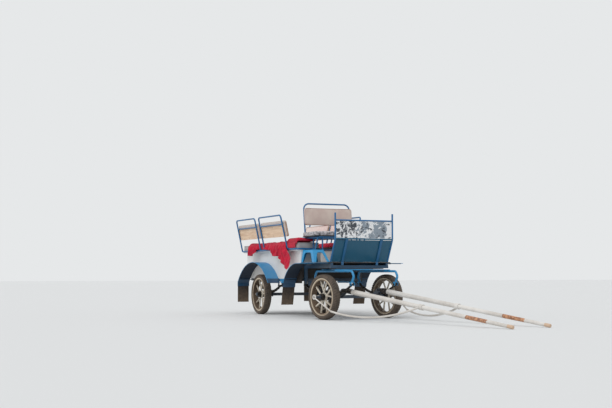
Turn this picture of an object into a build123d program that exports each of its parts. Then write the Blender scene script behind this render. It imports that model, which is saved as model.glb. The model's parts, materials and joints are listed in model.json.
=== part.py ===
"""Open horse-drawn wagonette: two side benches behind a raised driver's seat, with a pair of shafts.

Modelled in millimetres with +X forward, +Y to the left and +Z up, around the king pin on the
ground. The right-hand half is built and mirrored. The fore-carriage is built straight and turned
by STEER, and at the end everything is moved so that the origin lies under the middle of it all.
"""
import os
from math import asin, cos, radians, sin, sqrt

from build123d import *

# Overall layout
WHEELBASE = 2150.0
REAR_OVERHANG = 770.0
TRACK = 1110.0
STEER = 11.0
GAP = 0.5

# Wheels
WHEEL_R = 310.0
TYRE_W = 112.0
TYRE_WALL = 53.0
CROWN_IN = 20.0
FLANGE_H = 21.0
RIM_WALL = 7.0
RIM_W = 90.0
FLANGE_T = 4.0
HUB_R = 46.0
HUB_L = 116.0
HUB_FLANGE_R = 62.0
HUB_FLANGE_T = 24.0
SPOKE_PAIRS = 5
SPOKE_W = 18.0
SPOKE_T = 16.0
SPOKE_CROSS = 19.0
SPOKE_FOOT_CROSS = 21.0
STUB_R = 16.0
RUNNING_FIT = 0.05

# Axles and springs
BEAM = 45.0
BEAM_IN = 85.0
STUB_OUT_REAR = 85.0
STUB_OUT_FRONT = 149.0
AXLE_SHOULDER_R = 25.0
AXLE_SHOULDER_GAP = 5.0
NUT_R = 26.0
NUT_T = 16.0
NUT_CLEAR = 8.0
LEAF_T = 8.0
LEAF_W = 45.0
LEAF_COUNT = 4
LEAF_STEP = 0.22
REAR_SPRING_HALF = 400.0
REAR_SPRING_RISE = 85.0
FRONT_SPRING_HALF = 400.0
FRONT_SPRING_RISE = 120.0
SPRING_INSET_REAR = 90.0
SPRING_INSET_FRONT = 105.0
EYE_R = 14.0
EYE_BORE = 8.0
EYE_PIN = 7.5
CHEEK_R = 20.0
CHEEK_T = 6.0
CHEEK_CLEAR = 2.5
BRIDGE_T = 8.0
U_BOLT_R = 4.5
U_BOLT_X = 30.0
U_BOLT_END = 7.0
CLAMP_T = 9.0
CLAMP_EDGE = 12.0

# Underframe, platform and turntable
RAIL = 40.0
WHEEL_TO_BODY = 9.0
PANEL_T = 8.0
TUB_FLOOR_Z = 560.0
TUB_FLOOR_T = 10.0
BAY_HALF = 550.0
DECK_Z = 790.0
DECK_T = 12.0
FRAME_Z = 725.0
FRAME_INSET = 60.0
FRAME_FRONT = 120.0
DECK_BACK = 780.0
BULKHEAD_BACK = 760.0
BULKHEAD_T = 7.0
BEARER_W = 30.0
KING_BEAM = 90.0
MIDDLE_BEAM_X = -300.0
BOARD_STAY_T = 8.0
BOARD_STAY_W = 30.0
BOARD_STAYS = (60.0, -230.0, -470.0)
GUARD_STAY_R = 6.0
RING_R = 385.0
RING_W = 55.0
RING_T = 12.0
RING_GAP = 5.0
KING_R = 14.0
KING_COLLAR = 12.0
KING_END = 28.0
KING_NUT_T = 17.0
TABLE_BAR_X = 250.0
TABLE_BAR_W = 40.0
HANGER_R = 16.0
HANGER_KNEE = 40.0
HANGER_BEND = 45.0
HANGER_RISE = 34.0

# Benches
SEAT_TOP = 965.0
BENCH_FRONT = 785.0
AISLE_HALF = 170.0
BENCH_BOARD_T = 12.0
KICK_T = 8.0
RAIL_OUT = 70.0
TUBE_R = 12.5
HOOP_R = 11.5
CROSS_R = 10.0
RAIL_BEND = 50.0
HOOP_BEND = 45.0
HOOP_TOE_BEND = 55.0
HOOP_TOE = 170.0
HOOP_LEAN = 12.3
HOOP_H = 515.0
CROSS_V = 375.0
CUSHION_T = 105.0
CUSHION_IN = 16.0
CUSHION_CORNER = 45.0
HOOP_REAR_L = 796.0
HOOP_FRONT_L = 880.0
HOOP_BETWEEN = 162.0
REAR_HOOP_IN = 38.0
RAIL_TAIL = 50.0
PAD_LOW = 188.0
PAD_HIGH = 425.0
PAD_BOARD_T = 9.0
PAD_T = 38.0
PAD_CORNER = 30.0
HOOP_FRONT_RAKE = 12.0
HOOP_ANKLE = 10.0

# Loose cloths: a hem point is its distance from the tail and its height
CLOTH_T = 11.0
CLOTH_LIFT = 1.0
CLOTH_SIDE_Y = 32.0
CLOTH_FROM_TAIL = 190.0
CLOTH_FROM_HOOP = 40.0
SIDE_T = 12.0
SHORT_SIDE = (200.0, 620.0)
SHORT_HEM = ((220.0, 900.0), (470.0, 905.0), (590.0, 1010.0))
LONG_SIDE = 1060.0
LONG_HEM = ((1120.0, 960.0), (1440.0, 935.0), (1560.0, 860.0), (1690.0, 760.0), (1860.0, 690.0),
            (1990.0, 850.0), (1990.0, 955.0))
LONG_HEM_END = (45.0, 965.0)
LEG_SLOT = 34.0
ROLL_FROM_HOOP = 30.0
ROLL_FROM_FRONT = 30.0
ROLL_IN_Y = 70.0
ROLL_OUT_Y = 30.0
ROLL_T = 51.0
ROLL_CORNER_X = 55.0
ROLL_CORNER_T = 19.0
ROLL_CORNER_Y = (6.0, -13.5)
ROLL_CORNER_Z = 1010.0
LEFT_CLOTH_X = (320.0, 145.0)
LEFT_CLOTH_Y = 40.0
LEFT_DROP_Y = (22.0, 12.0)
LEFT_DROP_Z = 1012.0

# Driver's seat
PEDESTAL_TOP = 970.0
PEDESTAL_WALL = 7.0
PEDESTAL_FOOT = (-775.0, -340.0)
PEDESTAL_HEAD = (-775.0, -445.0)
PEDESTAL_IN = 240.0
PEDESTAL_HEAD_IN = 290.0
PEDESTAL_HEAD_OUT = 28.0
ARCH_HEAD = 38.0
ARCH_SIDE_FOOT = (48.0, 62.0)
ARCH_SIDE_HEAD = (66.0, 56.0)
ARCH_SIDE_R = 70.0
ARCH_FRONT_FOOT = (34.0, 38.0)
ARCH_FRONT_HEAD = (60.0, 30.0)
ARCH_FRONT_R = 40.0
SEAT_FRAME_Z = 1150.0
SEAT_BACK_X = -1060.0
SEAT_FRONT_X = -450.0
DRIVER_Y = 375.0
DRIVER_LEAN = 7.8
DRIVER_H = 515.0
DRIVER_BEND = 85.0
HOOP_FOOT_X = -880.0
POST_R = 12.0
SEAT_POSTS = ((-458.0, 420.0), (-458.0, 300.0), (-742.0, 310.0))
SEAT_LOOP_BEND = 40.0
SEAT_BOARD_T = 12.0
SEAT_BOARD_X = (18.0, 10.0)
SEAT_BOARD_OUT = 50.0
SEAT_PAD_T = 63.0
SEAT_PAD_X = (14.0, 20.0)
SEAT_PAD_OUT = 57.0
SEAT_PAD_CORNER = 40.0
BACK_LOW = 190.0
BACK_HIGH = 440.0
BACK_T = 45.0
BACK_OUT = 9.0

# Dashboard
DASH_FOOT_X = 100.0
DASH_X = 250.0
DASH_MID_Z = 1100.0
DASH_RAIL_Z = 1360.0
DASH_TOP_Z = 1460.0
DASH_INSET = 45.0
DASH_BEND = 90.0
DASH_RAIL_R = 10.5
DASH_PANEL_T = 6.0
DASH_POST_FOOT = 20.0
RIB_Y = 270.0
RIB_W = 36.0
RIB_T = 7.0
RIB_DEPTH = 18.0
RIB_IN = 3.0
LEDGE_UP = 4.0
PANEL_FOOT = (2.0, 1.0)
PANEL_HEAD = (4.0, 11.0)

# Mudguards and their flaps
GUARD_OUT = 135.0
GUARD_T = 4.0
REAR_GUARD_R = 800.0
REAR_GUARD_BACK = 50.0
REAR_GUARD_TOP = 810.0
FRONT_GUARD_R = 550.0
FRONT_GUARD_X = -500.0
FRONT_GUARD_TOP = 777.0
GUARD_END_Z = 490.0
STRIP_L = 60.0
FLAP_T = 6.0
FLAP_BOTTOM = 175.0
FLAP_INSET = 6.0
FRONT_FLAP_LEAN = 12.5

# Shafts and their ties
SHAFT_Y = 310.0
SHAFT_AHEAD = 150.0
SHAFT_RAISE = 90.0
SHAFT_L = 3100.0
SHAFT_BUTT_R = 36.0
SHAFT_TIP_R = 22.0
SHAFT_START = 55.0
TIP_L = 90.0
LUG_GAP = 26.0
LUG_T = 8.0
LUG_PIN_R = 10.0
LUG_OUTLINE = ((-34.0, 22.0), (12.0, 26.0), (28.0, 8.0), (26.0, -14.0), (-10.0, -44.0))
LUG_ROOT = ((10.0, -20.0), (10.0, 22.0))
LUG_HEEL = (40.0, -20.0)
SHAFT_EYE_R = 24.0
SHAFT_NECK = 26.0
SHAFT_SOFT = 6.0
SHAFT_SOCKET = 60.0
TIE_R = 13.0
TIE_S = 1560.0
TIE_BAND_L = 60.0
TIE_BAND_T = 8.0
TIE_RING_R = 34.0
TIE_RING_BORE = 20.0
TIE_RING_T = 14.0
TIE_OUT = 167.0
TIE_DROP = 185.0
TIE_IN = 50.0
TIE_BOW = (-41.0, -4.0, -105.0)
LINK_R = 9.0

# Places that follow from the sizes above
RIM_R = WHEEL_R - TYRE_WALL
RIM_SEAT = RIM_R - FLANGE_H
TYRE_BULGE_R = WHEEL_R - TYRE_WALL / 2 + GAP
WHEEL_Y = TRACK / 2
BODY_Y = WHEEL_Y - TYRE_W / 2 - WHEEL_TO_BODY
INNER_Y = BODY_Y - PANEL_T
TAIL_X = -(WHEELBASE + REAR_OVERHANG)
REAR_SPRING_Y = BODY_Y - SPRING_INSET_REAR
FRONT_SPRING_Y = BODY_Y - SPRING_INSET_FRONT
FRAME_Y = BODY_Y - FRAME_INSET
RAIL_Y = BODY_Y + RAIL_OUT
RAIL_Z = SEAT_TOP + BENCH_BOARD_T + TUBE_R + GAP
DASH_Y = BODY_Y - DASH_INSET
GUARD_OUT_Y = WHEEL_Y + GUARD_OUT
REAR_GUARD_X = -(WHEELBASE + REAR_GUARD_BACK)
TIE_RING_Y = WHEEL_Y + TIE_OUT
PIVOT_Z = WHEEL_R + SHAFT_RAISE
RAIL_LOW = TUB_FLOOR_Z - RAIL
GUARD_STAY_Z = RAIL_LOW + RAIL / 2
FLOOR_TOP = TUB_FLOOR_Z + TUB_FLOOR_T
UPPER_RING_Z = FRAME_Z - RAIL / 2 - RING_T
LOWER_RING_Z = UPPER_RING_Z - RING_GAP - RING_T
CUSHION_LOW = SEAT_TOP + BENCH_BOARD_T + GAP
CUSHION_TOP = CUSHION_LOW + CUSHION_T
REAR_HOOP = (TAIL_X - REAR_HOOP_IN, TAIL_X - REAR_HOOP_IN + HOOP_REAR_L)
FRONT_HOOP = (REAR_HOOP[1] + HOOP_BETWEEN, REAR_HOOP[1] + HOOP_BETWEEN + HOOP_FRONT_L)
HOOPS = (("rear", *REAR_HOOP), ("front", *FRONT_HOOP))
STEER_TURN = Rot(0, 0, STEER)

os.makedirs("parts", exist_ok=True)
parts = {}


def block(x0, x1, y0, y1, z0, z1):
    """A box between two corners."""
    return Pos((x0 + x1) / 2, (y0 + y1) / 2, (z0 + z1) / 2) * Box(x1 - x0, y1 - y0, z1 - z0)


def rod(start, end, radius):
    """A round bar from one point to another."""
    way = Vector(*end) - Vector(*start)
    place = Plane(origin=start, z_dir=way)
    return place * Cylinder(radius, way.length, align=(Align.CENTER, Align.CENTER, Align.MIN))


def cross_rod(x, y0, y1, z, radius):
    """A round bar across the carriage."""
    return Pos(x, (y0 + y1) / 2, z) * Rot(90, 0, 0) * Cylinder(radius, y1 - y0)


def side_plate(points, y0, y1):
    """A plate with an outline of (x, z) points, between two values of y."""
    face = Plane.XZ * make_face(Polyline(*points, close=True))
    return Pos(0, y1, 0) * extrude(face, amount=y1 - y0)


def side_plate_of(edges, y0, y1):
    """A plate with an outline of lines and arcs in x and z, between two values of y."""
    face = Plane.XZ * make_face(Curve() + edges)
    return Pos(0, y1, 0) * extrude(face, amount=y1 - y0)


def bent_tube(points, bends, radius, plane=Plane.XY):
    """A round tube along straight runs joined by arcs, with its points in a plane."""
    path = plane * FilletPolyline(*points, radius=bends)
    section = Plane(origin=path @ 0, z_dir=path % 0) * Circle(radius)
    return sweep(section, path=path)


def tube_loop(x0, x1, y0, y1, z, bend, radius):
    """A level rectangle of round tube with bent corners, from two halves."""
    middle = (x0 + x1) / 2
    plane = Plane(origin=(0, 0, z))
    front = [(middle - 1, y0), (x1, y0), (x1, y1), (middle - 1, y1)]
    rear = [(middle, y0), (x0, y0), (x0, y1), (middle, y1)]
    return bent_tube(front, bend, radius, plane) + bent_tube(rear, bend, radius, plane)


def pair(shape):
    """The piece and its mirror image, side by side."""
    return [shape, other_side(shape)]


def fuse(shapes):
    """All the shapes in one."""
    whole = shapes[0]
    for shape in shapes[1:]:
        whole = whole + shape
    return whole


def other_side(shape):
    """The same piece on the left."""
    return mirror(shape, about=Plane.XZ)


def with_other_side(shape):
    """The piece joined to its mirror image."""
    return shape + other_side(shape)


def both_sides(name, shape, turn=Rot(0, 0, 0)):
    """Store the right-hand piece and its mirror image."""
    parts[name + "_right"] = turn * shape
    parts[name + "_left"] = turn * other_side(shape)


def tyre():
    """A motorcycle-type tyre on the rim's two lips, with its axis along Y, centred on the origin."""
    half = TYRE_W / 2
    side = [(RIM_R, RIM_W / 2), (TYRE_BULGE_R, half), (WHEEL_R, half - CROWN_IN)]
    mirrored = [(r, -y) for r, y in reversed(side)]
    return revolve(make_face(Polyline(*(side + mirrored), close=True)), axis=Axis.Y)


def wheel():
    """Rim, crossing pairs of flat spokes and hub in one piece, with the axle's bore."""
    half = RIM_W / 2
    seat = RIM_SEAT - GAP
    inner = seat - RIM_WALL
    lip = half - FLANGE_T
    rim = [(inner, -half), (RIM_R, -half), (RIM_R, -lip), (seat, -lip),
           (seat, lip), (RIM_R, lip), (RIM_R, half), (inner, half)]
    shape = revolve(make_face(Polyline(*rim, close=True)), axis=Axis.Y)
    shape = shape + cross_rod(0, -HUB_L / 2, HUB_L / 2, 0, HUB_R)
    shape = shape + cross_rod(0, -HUB_FLANGE_T / 2, HUB_FLANGE_T / 2, 0, HUB_FLANGE_R)
    foot = HUB_R - 6
    reach = inner + RIM_WALL / 3
    for number in range(SPOKE_PAIRS):
        middle = 90 + 360 / SPOKE_PAIRS * number
        for side in (-1, 1):
            a = radians(middle - side * SPOKE_FOOT_CROSS)
            b = radians(middle + side * SPOKE_CROSS)
            start = Vector(foot * cos(a), 0, foot * sin(a))
            end = Vector(reach * cos(b), 0, reach * sin(b))
            place = Plane(origin=(start + end) / 2, x_dir=end - start, z_dir=(0, 1, 0))
            shape = shape + place * Box((end - start).length, SPOKE_W, SPOKE_T)
    return shape - cross_rod(0, -HUB_L / 2 - 1, HUB_L / 2 + 1, 0, STUB_R + RUNNING_FIT)


def axle(stub_out):
    """A square beam with a round stub, a shoulder and a nut at each end, centred on the origin."""
    beam_half = WHEEL_Y - BEAM_IN
    shoulder = WHEEL_Y - HUB_L / 2 - AXLE_SHOULDER_GAP
    nut = WHEEL_Y + HUB_L / 2 + NUT_CLEAR
    end = cross_rod(0, -WHEEL_Y - stub_out, -beam_half + 1, 0, STUB_R)
    end = end + cross_rod(0, -shoulder, -beam_half + 1, 0, AXLE_SHOULDER_R)
    end = end + cross_rod(0, -nut - NUT_T, -nut, 0, NUT_R)
    return Box(BEAM, 2 * beam_half, BEAM) + pair(end)


def leaf(radius, centre_z, reach, top, bottom):
    """One curved leaf: the ring between two radii, within a half-chord of its middle."""
    turn = asin(reach / radius)
    lines = []
    for r in (top, bottom):
        lines.append([(r * sin(t), centre_z - r * cos(t)) for t in (-turn, 0, turn)])
    edges = [ThreePointArc(*lines[0]), Line(lines[0][2], lines[1][2]),
             ThreePointArc(*reversed(lines[1])), Line(lines[1][0], lines[0][0])]
    return side_plate_of(edges, -LEAF_W / 2, LEAF_W / 2)


def leaf_spring(half, rise):
    """A half-elliptic spring on its axle, over the origin, and the height of its eyes.

    The longest leaf lies on top and ends in the eyes. Each leaf below it is shorter.
    """
    seat_z = WHEEL_R + BEAM / 2
    radius = (half * half + rise * rise) / (2 * rise)
    main_z = seat_z + LEAF_T * (LEAF_COUNT - 0.5)
    centre_z = main_z + radius
    leaves = []
    for number in range(LEAF_COUNT):
        top = radius + LEAF_T * (number - 0.5)
        leaves.append(leaf(radius, centre_z, half * (1 - LEAF_STEP * number), top, top + LEAF_T))
    shape = fuse(leaves)
    eye_z = main_z + rise
    for x in (-half, half):
        shape = shape + cross_rod(x, -LEAF_W / 2, LEAF_W / 2, eye_z, EYE_R)
    for x in (-half, half):
        shape = shape - cross_rod(x, -LEAF_W / 2 - 1, LEAF_W / 2 + 1, eye_z, EYE_BORE)
    top = main_z + LEAF_T / 2
    edge = LEAF_W / 2 + 2 * U_BOLT_R
    plate_top = WHEEL_R - BEAM / 2
    plate_x = U_BOLT_X + CLAMP_EDGE
    for low, high in ((top - 1, top + CLAMP_T), (plate_top - CLAMP_T, plate_top)):
        shape = shape + block(-plate_x, plate_x, -edge, edge, low, high)
    bolt_z = (plate_top - CLAMP_T - U_BOLT_END, top + CLAMP_T + U_BOLT_END)
    for x in (-U_BOLT_X, U_BOLT_X):
        for y in (-edge + U_BOLT_R + 1, edge - U_BOLT_R - 1):
            shape = shape + rod((x, y, bolt_z[0]), (x, y, bolt_z[1]), U_BOLT_R)
    return shape, eye_z


def spring_fork(x, y, eye_z, top_z):
    """A fork that hangs from top_z and holds a spring's eye on its pin."""
    inner = LEAF_W / 2 + CHEEK_CLEAR
    outer = inner + CHEEK_T
    fork = block(x - CHEEK_R, x + CHEEK_R, y - outer, y + outer, top_z - BRIDGE_T, top_z)
    for low, high in ((y - outer, y - inner), (y + inner, y + outer)):
        fork = fork + block(x - CHEEK_R, x + CHEEK_R, low, high, eye_z, top_z - BRIDGE_T / 2)
        fork = fork + cross_rod(x, low, high, eye_z, CHEEK_R - GAP)
    return fork + cross_rod(x, y - outer - 3, y + outer + 3, eye_z, EYE_PIN)


def ring(z0):
    """One flat ring of the turntable, with its lower face at z0."""
    place = Pos(0, 0, z0 + RING_T / 2)
    return place * Cylinder(RING_R, RING_T) - place * Cylinder(RING_R - RING_W, RING_T + 2)


def guard_stay_x(radius, centre_x, top_z):
    """How far in front of and behind its centre a mudguard's arc rests on its round stays."""
    inside = radius - GUARD_T - GUARD_STAY_R - GAP / 5
    return sqrt(inside ** 2 - (GUARD_STAY_Z - top_z + radius) ** 2)


def chassis_frame(rear_eye_z):
    """Square-tube frame of the tub and the platform, with the rear spring forks and the upper ring."""
    half = RAIL / 2
    y = -REAR_SPRING_Y
    low = RAIL_LOW
    back = -BULKHEAD_BACK + half
    side = [block(TAIL_X, back, y - half, y + half, low, TUB_FLOOR_Z)]
    for x in (-REAR_SPRING_HALF, REAR_SPRING_HALF):
        side.append(spring_fork(x - WHEELBASE, y, rear_eye_z, low + 1))
    y = -FRAME_Y
    side.append(block(back - half, FRAME_FRONT, y - half, y + half, FRAME_Z - half, FRAME_Z + half))
    side.append(block(back - half, back + half, y - half + 1, y + half - 1, low, FRAME_Z))
    bearer = BEARER_W / 2
    side.append(block(back - bearer, FRAME_FRONT, y - bearer, y + bearer, FRAME_Z, DECK_Z - DECK_T))
    under_board = FRONT_GUARD_TOP - GUARD_T
    for x in BOARD_STAYS:
        stay = block(x - BOARD_STAY_W / 2, x + BOARD_STAY_W / 2, -GUARD_OUT_Y + 10, y,
                     under_board - BOARD_STAY_T, under_board)
        side.append(stay)
    for radius, centre_x, top_z, ends in ((REAR_GUARD_R, REAR_GUARD_X, REAR_GUARD_TOP, (-1, 1)),
                                          (FRONT_GUARD_R, FRONT_GUARD_X, FRONT_GUARD_TOP, (-1,))):
        for end in ends:
            x = centre_x + end * guard_stay_x(radius, centre_x, top_z)
            side.append(cross_rod(x, -GUARD_OUT_Y + 10, -REAR_SPRING_Y, GUARD_STAY_Z, GUARD_STAY_R))
    shape = with_other_side(fuse(side))
    cross = REAR_SPRING_Y + 1
    for x in (TAIL_X + half, -WHEELBASE - BAY_HALF, -WHEELBASE + BAY_HALF, back):
        shape = shape + block(x - half, x + half, -cross, cross, low + 1, TUB_FLOOR_Z - 1)
    cross = FRAME_Y + 1
    for x, reach in ((back, half), (MIDDLE_BEAM_X, half), (0, KING_BEAM / 2), (FRAME_FRONT - half, half - 1)):
        shape = shape + block(x - reach, x + reach, -cross, cross, FRAME_Z - half, FRAME_Z + half - 1)
    shape = shape + ring(UPPER_RING_Z + GAP)
    shape = shape + rod((0, 0, FRAME_Z), (0, 0, LOWER_RING_Z - KING_END), KING_R)
    nut_top = LOWER_RING_Z - RING_GAP
    return shape + rod((0, 0, nut_top), (0, 0, nut_top - KING_NUT_T), KING_R + KING_COLLAR)


def front_guard_x(z):
    """Where the outside of the front mudguard's arc stands at a height, behind its centre."""
    centre_z = FRONT_GUARD_TOP - FRONT_GUARD_R
    return FRONT_GUARD_X - sqrt(FRONT_GUARD_R ** 2 - (z - centre_z) ** 2)


def side_panel():
    """The right side of the tub, cut along the front mudguard and raised behind it."""
    front = -BENCH_FRONT - 5
    centre_z = FRONT_GUARD_TOP - FRONT_GUARD_R
    high_z = centre_z + sqrt(FRONT_GUARD_R ** 2 - (FRONT_GUARD_X - front) ** 2)
    low = (front_guard_x(GUARD_END_Z), GUARD_END_Z)
    mid_z = (high_z + GUARD_END_Z) / 2
    skirt_x = REAR_GUARD_X + sqrt(REAR_GUARD_R ** 2 - (GUARD_END_Z - REAR_GUARD_TOP + REAR_GUARD_R) ** 2)
    corner = (skirt_x - 30, TUB_FLOOR_Z - 2)
    edges = [
        Line((TAIL_X, SEAT_TOP), (front, SEAT_TOP)),
        Line((front, SEAT_TOP), (front, high_z)),
        ThreePointArc((front, high_z), (front_guard_x(mid_z), mid_z), low),
        Line(low, (skirt_x + 30, GUARD_END_Z)),
        Line((skirt_x + 30, GUARD_END_Z), corner),
        Line(corner, (TAIL_X, TUB_FLOOR_Z - 2)),
        Line((TAIL_X, TUB_FLOOR_Z - 2), (TAIL_X, SEAT_TOP)),
    ]
    return side_plate_of(edges, -BODY_Y, -INNER_Y)


def bulkhead():
    """The board in front of the tub and the plates that close the tub's sides under the front mudguards."""
    front = -BULKHEAD_BACK
    board = block(front - BULKHEAD_T, front, -INNER_Y - 1, INNER_Y + 1, FLOOR_TOP, DECK_Z - DECK_T)
    panel_front = -BENCH_FRONT - 5 + GAP
    high_z = DECK_Z - DECK_T
    low_z = GUARD_END_Z
    under = FRONT_GUARD_R - GAP
    centre_z = FRONT_GUARD_TOP - FRONT_GUARD_R
    shoulder_z = centre_z + sqrt(under ** 2 - (FRONT_GUARD_X - panel_front) ** 2)
    mid_z = (shoulder_z + low_z) / 2
    arc = [(FRONT_GUARD_X - sqrt(under ** 2 - (z - centre_z) ** 2), z) for z in (shoulder_z, mid_z, low_z)]
    edges = [
        Line((front, high_z), (panel_front, high_z)),
        Line((panel_front, high_z), arc[0]),
        ThreePointArc(*arc),
        Line(arc[2], (front, low_z)),
        Line((front, low_z), (front, high_z)),
    ]
    cheek = side_plate_of(edges, -BODY_Y, -INNER_Y)
    stay_x = FRONT_GUARD_X - guard_stay_x(FRONT_GUARD_R, FRONT_GUARD_X, FRONT_GUARD_TOP)
    room = GUARD_STAY_R + 4 * GAP
    notch_z = (GUARD_STAY_Z - room, GUARD_STAY_Z + room)
    notch = block(stay_x - 4 * room, stay_x + room, -BODY_Y - 1, -INNER_Y + 1, *notch_z)
    return board + pair(cheek - notch)


def bench_box():
    """The right bench: its deck, the kick board towards the aisle and the two end boards."""
    front = -BENCH_FRONT
    box = block(TAIL_X - 10, front, -RAIL_Y + 10, -AISLE_HALF + 5, SEAT_TOP, SEAT_TOP + BENCH_BOARD_T)
    box = box + block(TAIL_X + KICK_T, front - 5, -AISLE_HALF - KICK_T, -AISLE_HALF, FLOOR_TOP, SEAT_TOP + 1)
    for x in (TAIL_X, front - 5 - KICK_T):
        box = box + block(x, x + KICK_T, -INNER_Y, -AISLE_HALF, FLOOR_TOP, SEAT_TOP + 1)
    return box


def hoop_plane():
    """The leaning plane of the right hoops: x forward, y up the slope, z inwards."""
    c, s = cos(radians(HOOP_LEAN)), sin(radians(HOOP_LEAN))
    return Plane(origin=(0, -RAIL_Y, RAIL_Z), x_dir=(1, 0, 0), z_dir=(0, -c, -s))


def bench_frame():
    """The right bench's rail loop with its two hoops and their cross bars."""
    plane = hoop_plane()
    shape = tube_loop(TAIL_X - RAIL_TAIL, -BENCH_FRONT, -RAIL_Y, -AISLE_HALF + 5, RAIL_Z, RAIL_BEND, TUBE_R)
    for name, rear, front in HOOPS:
        points = [(front, 0), (front, HOOP_H), (rear, HOOP_H), (rear, 0)]
        bends = [HOOP_BEND, HOOP_BEND]
        if name == "front":
            toe = [(front + HOOP_TOE, 0), (front + HOOP_ANKLE, 0), (front - HOOP_FRONT_RAKE, HOOP_H)]
            points = toe + points[2:]
            bends = [HOOP_TOE_BEND, HOOP_BEND, HOOP_BEND]
        hoop = bent_tube(points, bends, HOOP_R, plane)
        bar = rod((rear, CROSS_V, 0), (front - HOOP_FRONT_RAKE / 2, CROSS_V, 0), CROSS_R)
        shape = shape + (hoop + plane * bar)
    return shape


def back_pad(rear, front):
    """The back of a bench between a hoop's legs: a plywood board and the cushion inside it."""
    out = -HOOP_R - GAP / 2
    inside = out - PAD_BOARD_T
    board = block(rear - 5, front + 5, PAD_LOW, CROSS_V - CROSS_R - 1, inside, out)
    cushion = block(rear - 20, front + HOOP_BEND, PAD_LOW, PAD_HIGH, inside - PAD_T, inside + GAP)
    corners = cushion.edges().filter_by(Axis.Z)
    return hoop_plane() * (board + fillet(corners, PAD_CORNER))


def bench_cushion():
    """The right bench's long seat cushion, within the rail loop."""
    pad = block(TAIL_X - RAIL_TAIL + CUSHION_IN, -BENCH_FRONT - CUSHION_IN, -RAIL_Y + CUSHION_IN,
                -AISLE_HALF - 12, CUSHION_LOW, CUSHION_TOP)
    return fillet(pad.edges().filter_by(Axis.Z), CUSHION_CORNER)


def blanket_right():
    """The cloth on the right bench: a slab along the seat and the corners that hang down outside."""
    top = CUSHION_TOP + CLOTH_LIFT
    outer = -RAIL_Y - CLOTH_SIDE_Y
    rear, front = TAIL_X + CLOTH_FROM_TAIL, FRONT_HOOP[1] - CLOTH_FROM_HOOP
    cloth = block(rear, front, outer, -AISLE_HALF - 30, top, top + CLOTH_T)
    leg_y = -RAIL_Y + TUBE_R - GAP
    slot_x = (REAR_HOOP[1] - LEG_SLOT, FRONT_HOOP[0] + LEG_SLOT)
    cloth = cloth - block(*slot_x, outer - 1, leg_y, top - 1, top + CLOTH_T + 1)
    seat = top + 1
    short = [(TAIL_X + x, z) for x, z in ((SHORT_SIDE[0], seat), *SHORT_HEM, (SHORT_SIDE[1], seat))]
    end_x, end_z = FRONT_HOOP[1] - LONG_HEM_END[0], LONG_HEM_END[1]
    long = [(TAIL_X + x, z) for x, z in ((LONG_SIDE, seat), *LONG_HEM)] + [(end_x, end_z), (end_x, seat)]
    for outline in (short, long):
        cloth = cloth + side_plate(outline, outer, outer + SIDE_T)
    return cloth


def blanket_roll():
    """The folded cloth at the front of the right bench, with a corner over the edge."""
    top = CUSHION_TOP + CLOTH_LIFT
    rear, front = FRONT_HOOP[1] + ROLL_FROM_HOOP, -BENCH_FRONT - ROLL_FROM_FRONT
    out_y, in_y = (-RAIL_Y - y for y in ROLL_CORNER_Y)
    corner = rear + ROLL_CORNER_X
    roll = block(rear, front, -RAIL_Y + ROLL_OUT_Y, -AISLE_HALF - ROLL_IN_Y, top, top + ROLL_T)
    roll = roll + block(corner, front, out_y, -RAIL_Y + 2 * ROLL_OUT_Y, top, top + ROLL_CORNER_T)
    return roll + block(corner, front, out_y, in_y, ROLL_CORNER_Z, top + 1)


def blanket_left():
    """The cloth spread on the left bench, hanging a little into the aisle."""
    top = CUSHION_TOP + CLOTH_LIFT
    rear, front = TAIL_X + LEFT_CLOTH_X[0], -BENCH_FRONT - LEFT_CLOTH_X[1]
    drop_in, drop_out = (AISLE_HALF - y for y in LEFT_DROP_Y)
    spread = block(rear, front, drop_in + 1, RAIL_Y - LEFT_CLOTH_Y, top, top + CLOTH_T)
    return spread + block(rear, front, drop_in, drop_out, LEFT_DROP_Z, top + CLOTH_T)


def stand(inset):
    """The splayed block of a pedestal, drawn in by an inset on every side but its foot."""
    levels = []
    sizes = ((PEDESTAL_FOOT, PEDESTAL_IN, BODY_Y, DECK_Z - (1 if inset else 0)),
             (PEDESTAL_HEAD, PEDESTAL_HEAD_IN, BODY_Y - PEDESTAL_HEAD_OUT, PEDESTAL_TOP - inset))
    for (x0, x1), y_in, y_out, z in sizes:
        points = [(x0 + inset, -y_out + inset), (x1 - inset, -y_out + inset),
                  (x1 - inset, -y_in - inset), (x0 + inset, -y_in - inset)]
        levels.append(Pos(0, 0, z) * make_face(Polyline(*points, close=True)))
    return loft(levels, ruled=True)


def arch(foot, head, foot_in, head_in):
    """The outline of a cut-out between two legs that narrows upwards, from a foot span and a head span."""
    low, high = DECK_Z - 5, PEDESTAL_TOP - ARCH_HEAD
    return [(foot[0] + foot_in[0], low), (foot[1] - foot_in[1], low),
            (head[1] - head_in[1], high), (head[0] + head_in[0], high)]


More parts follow.
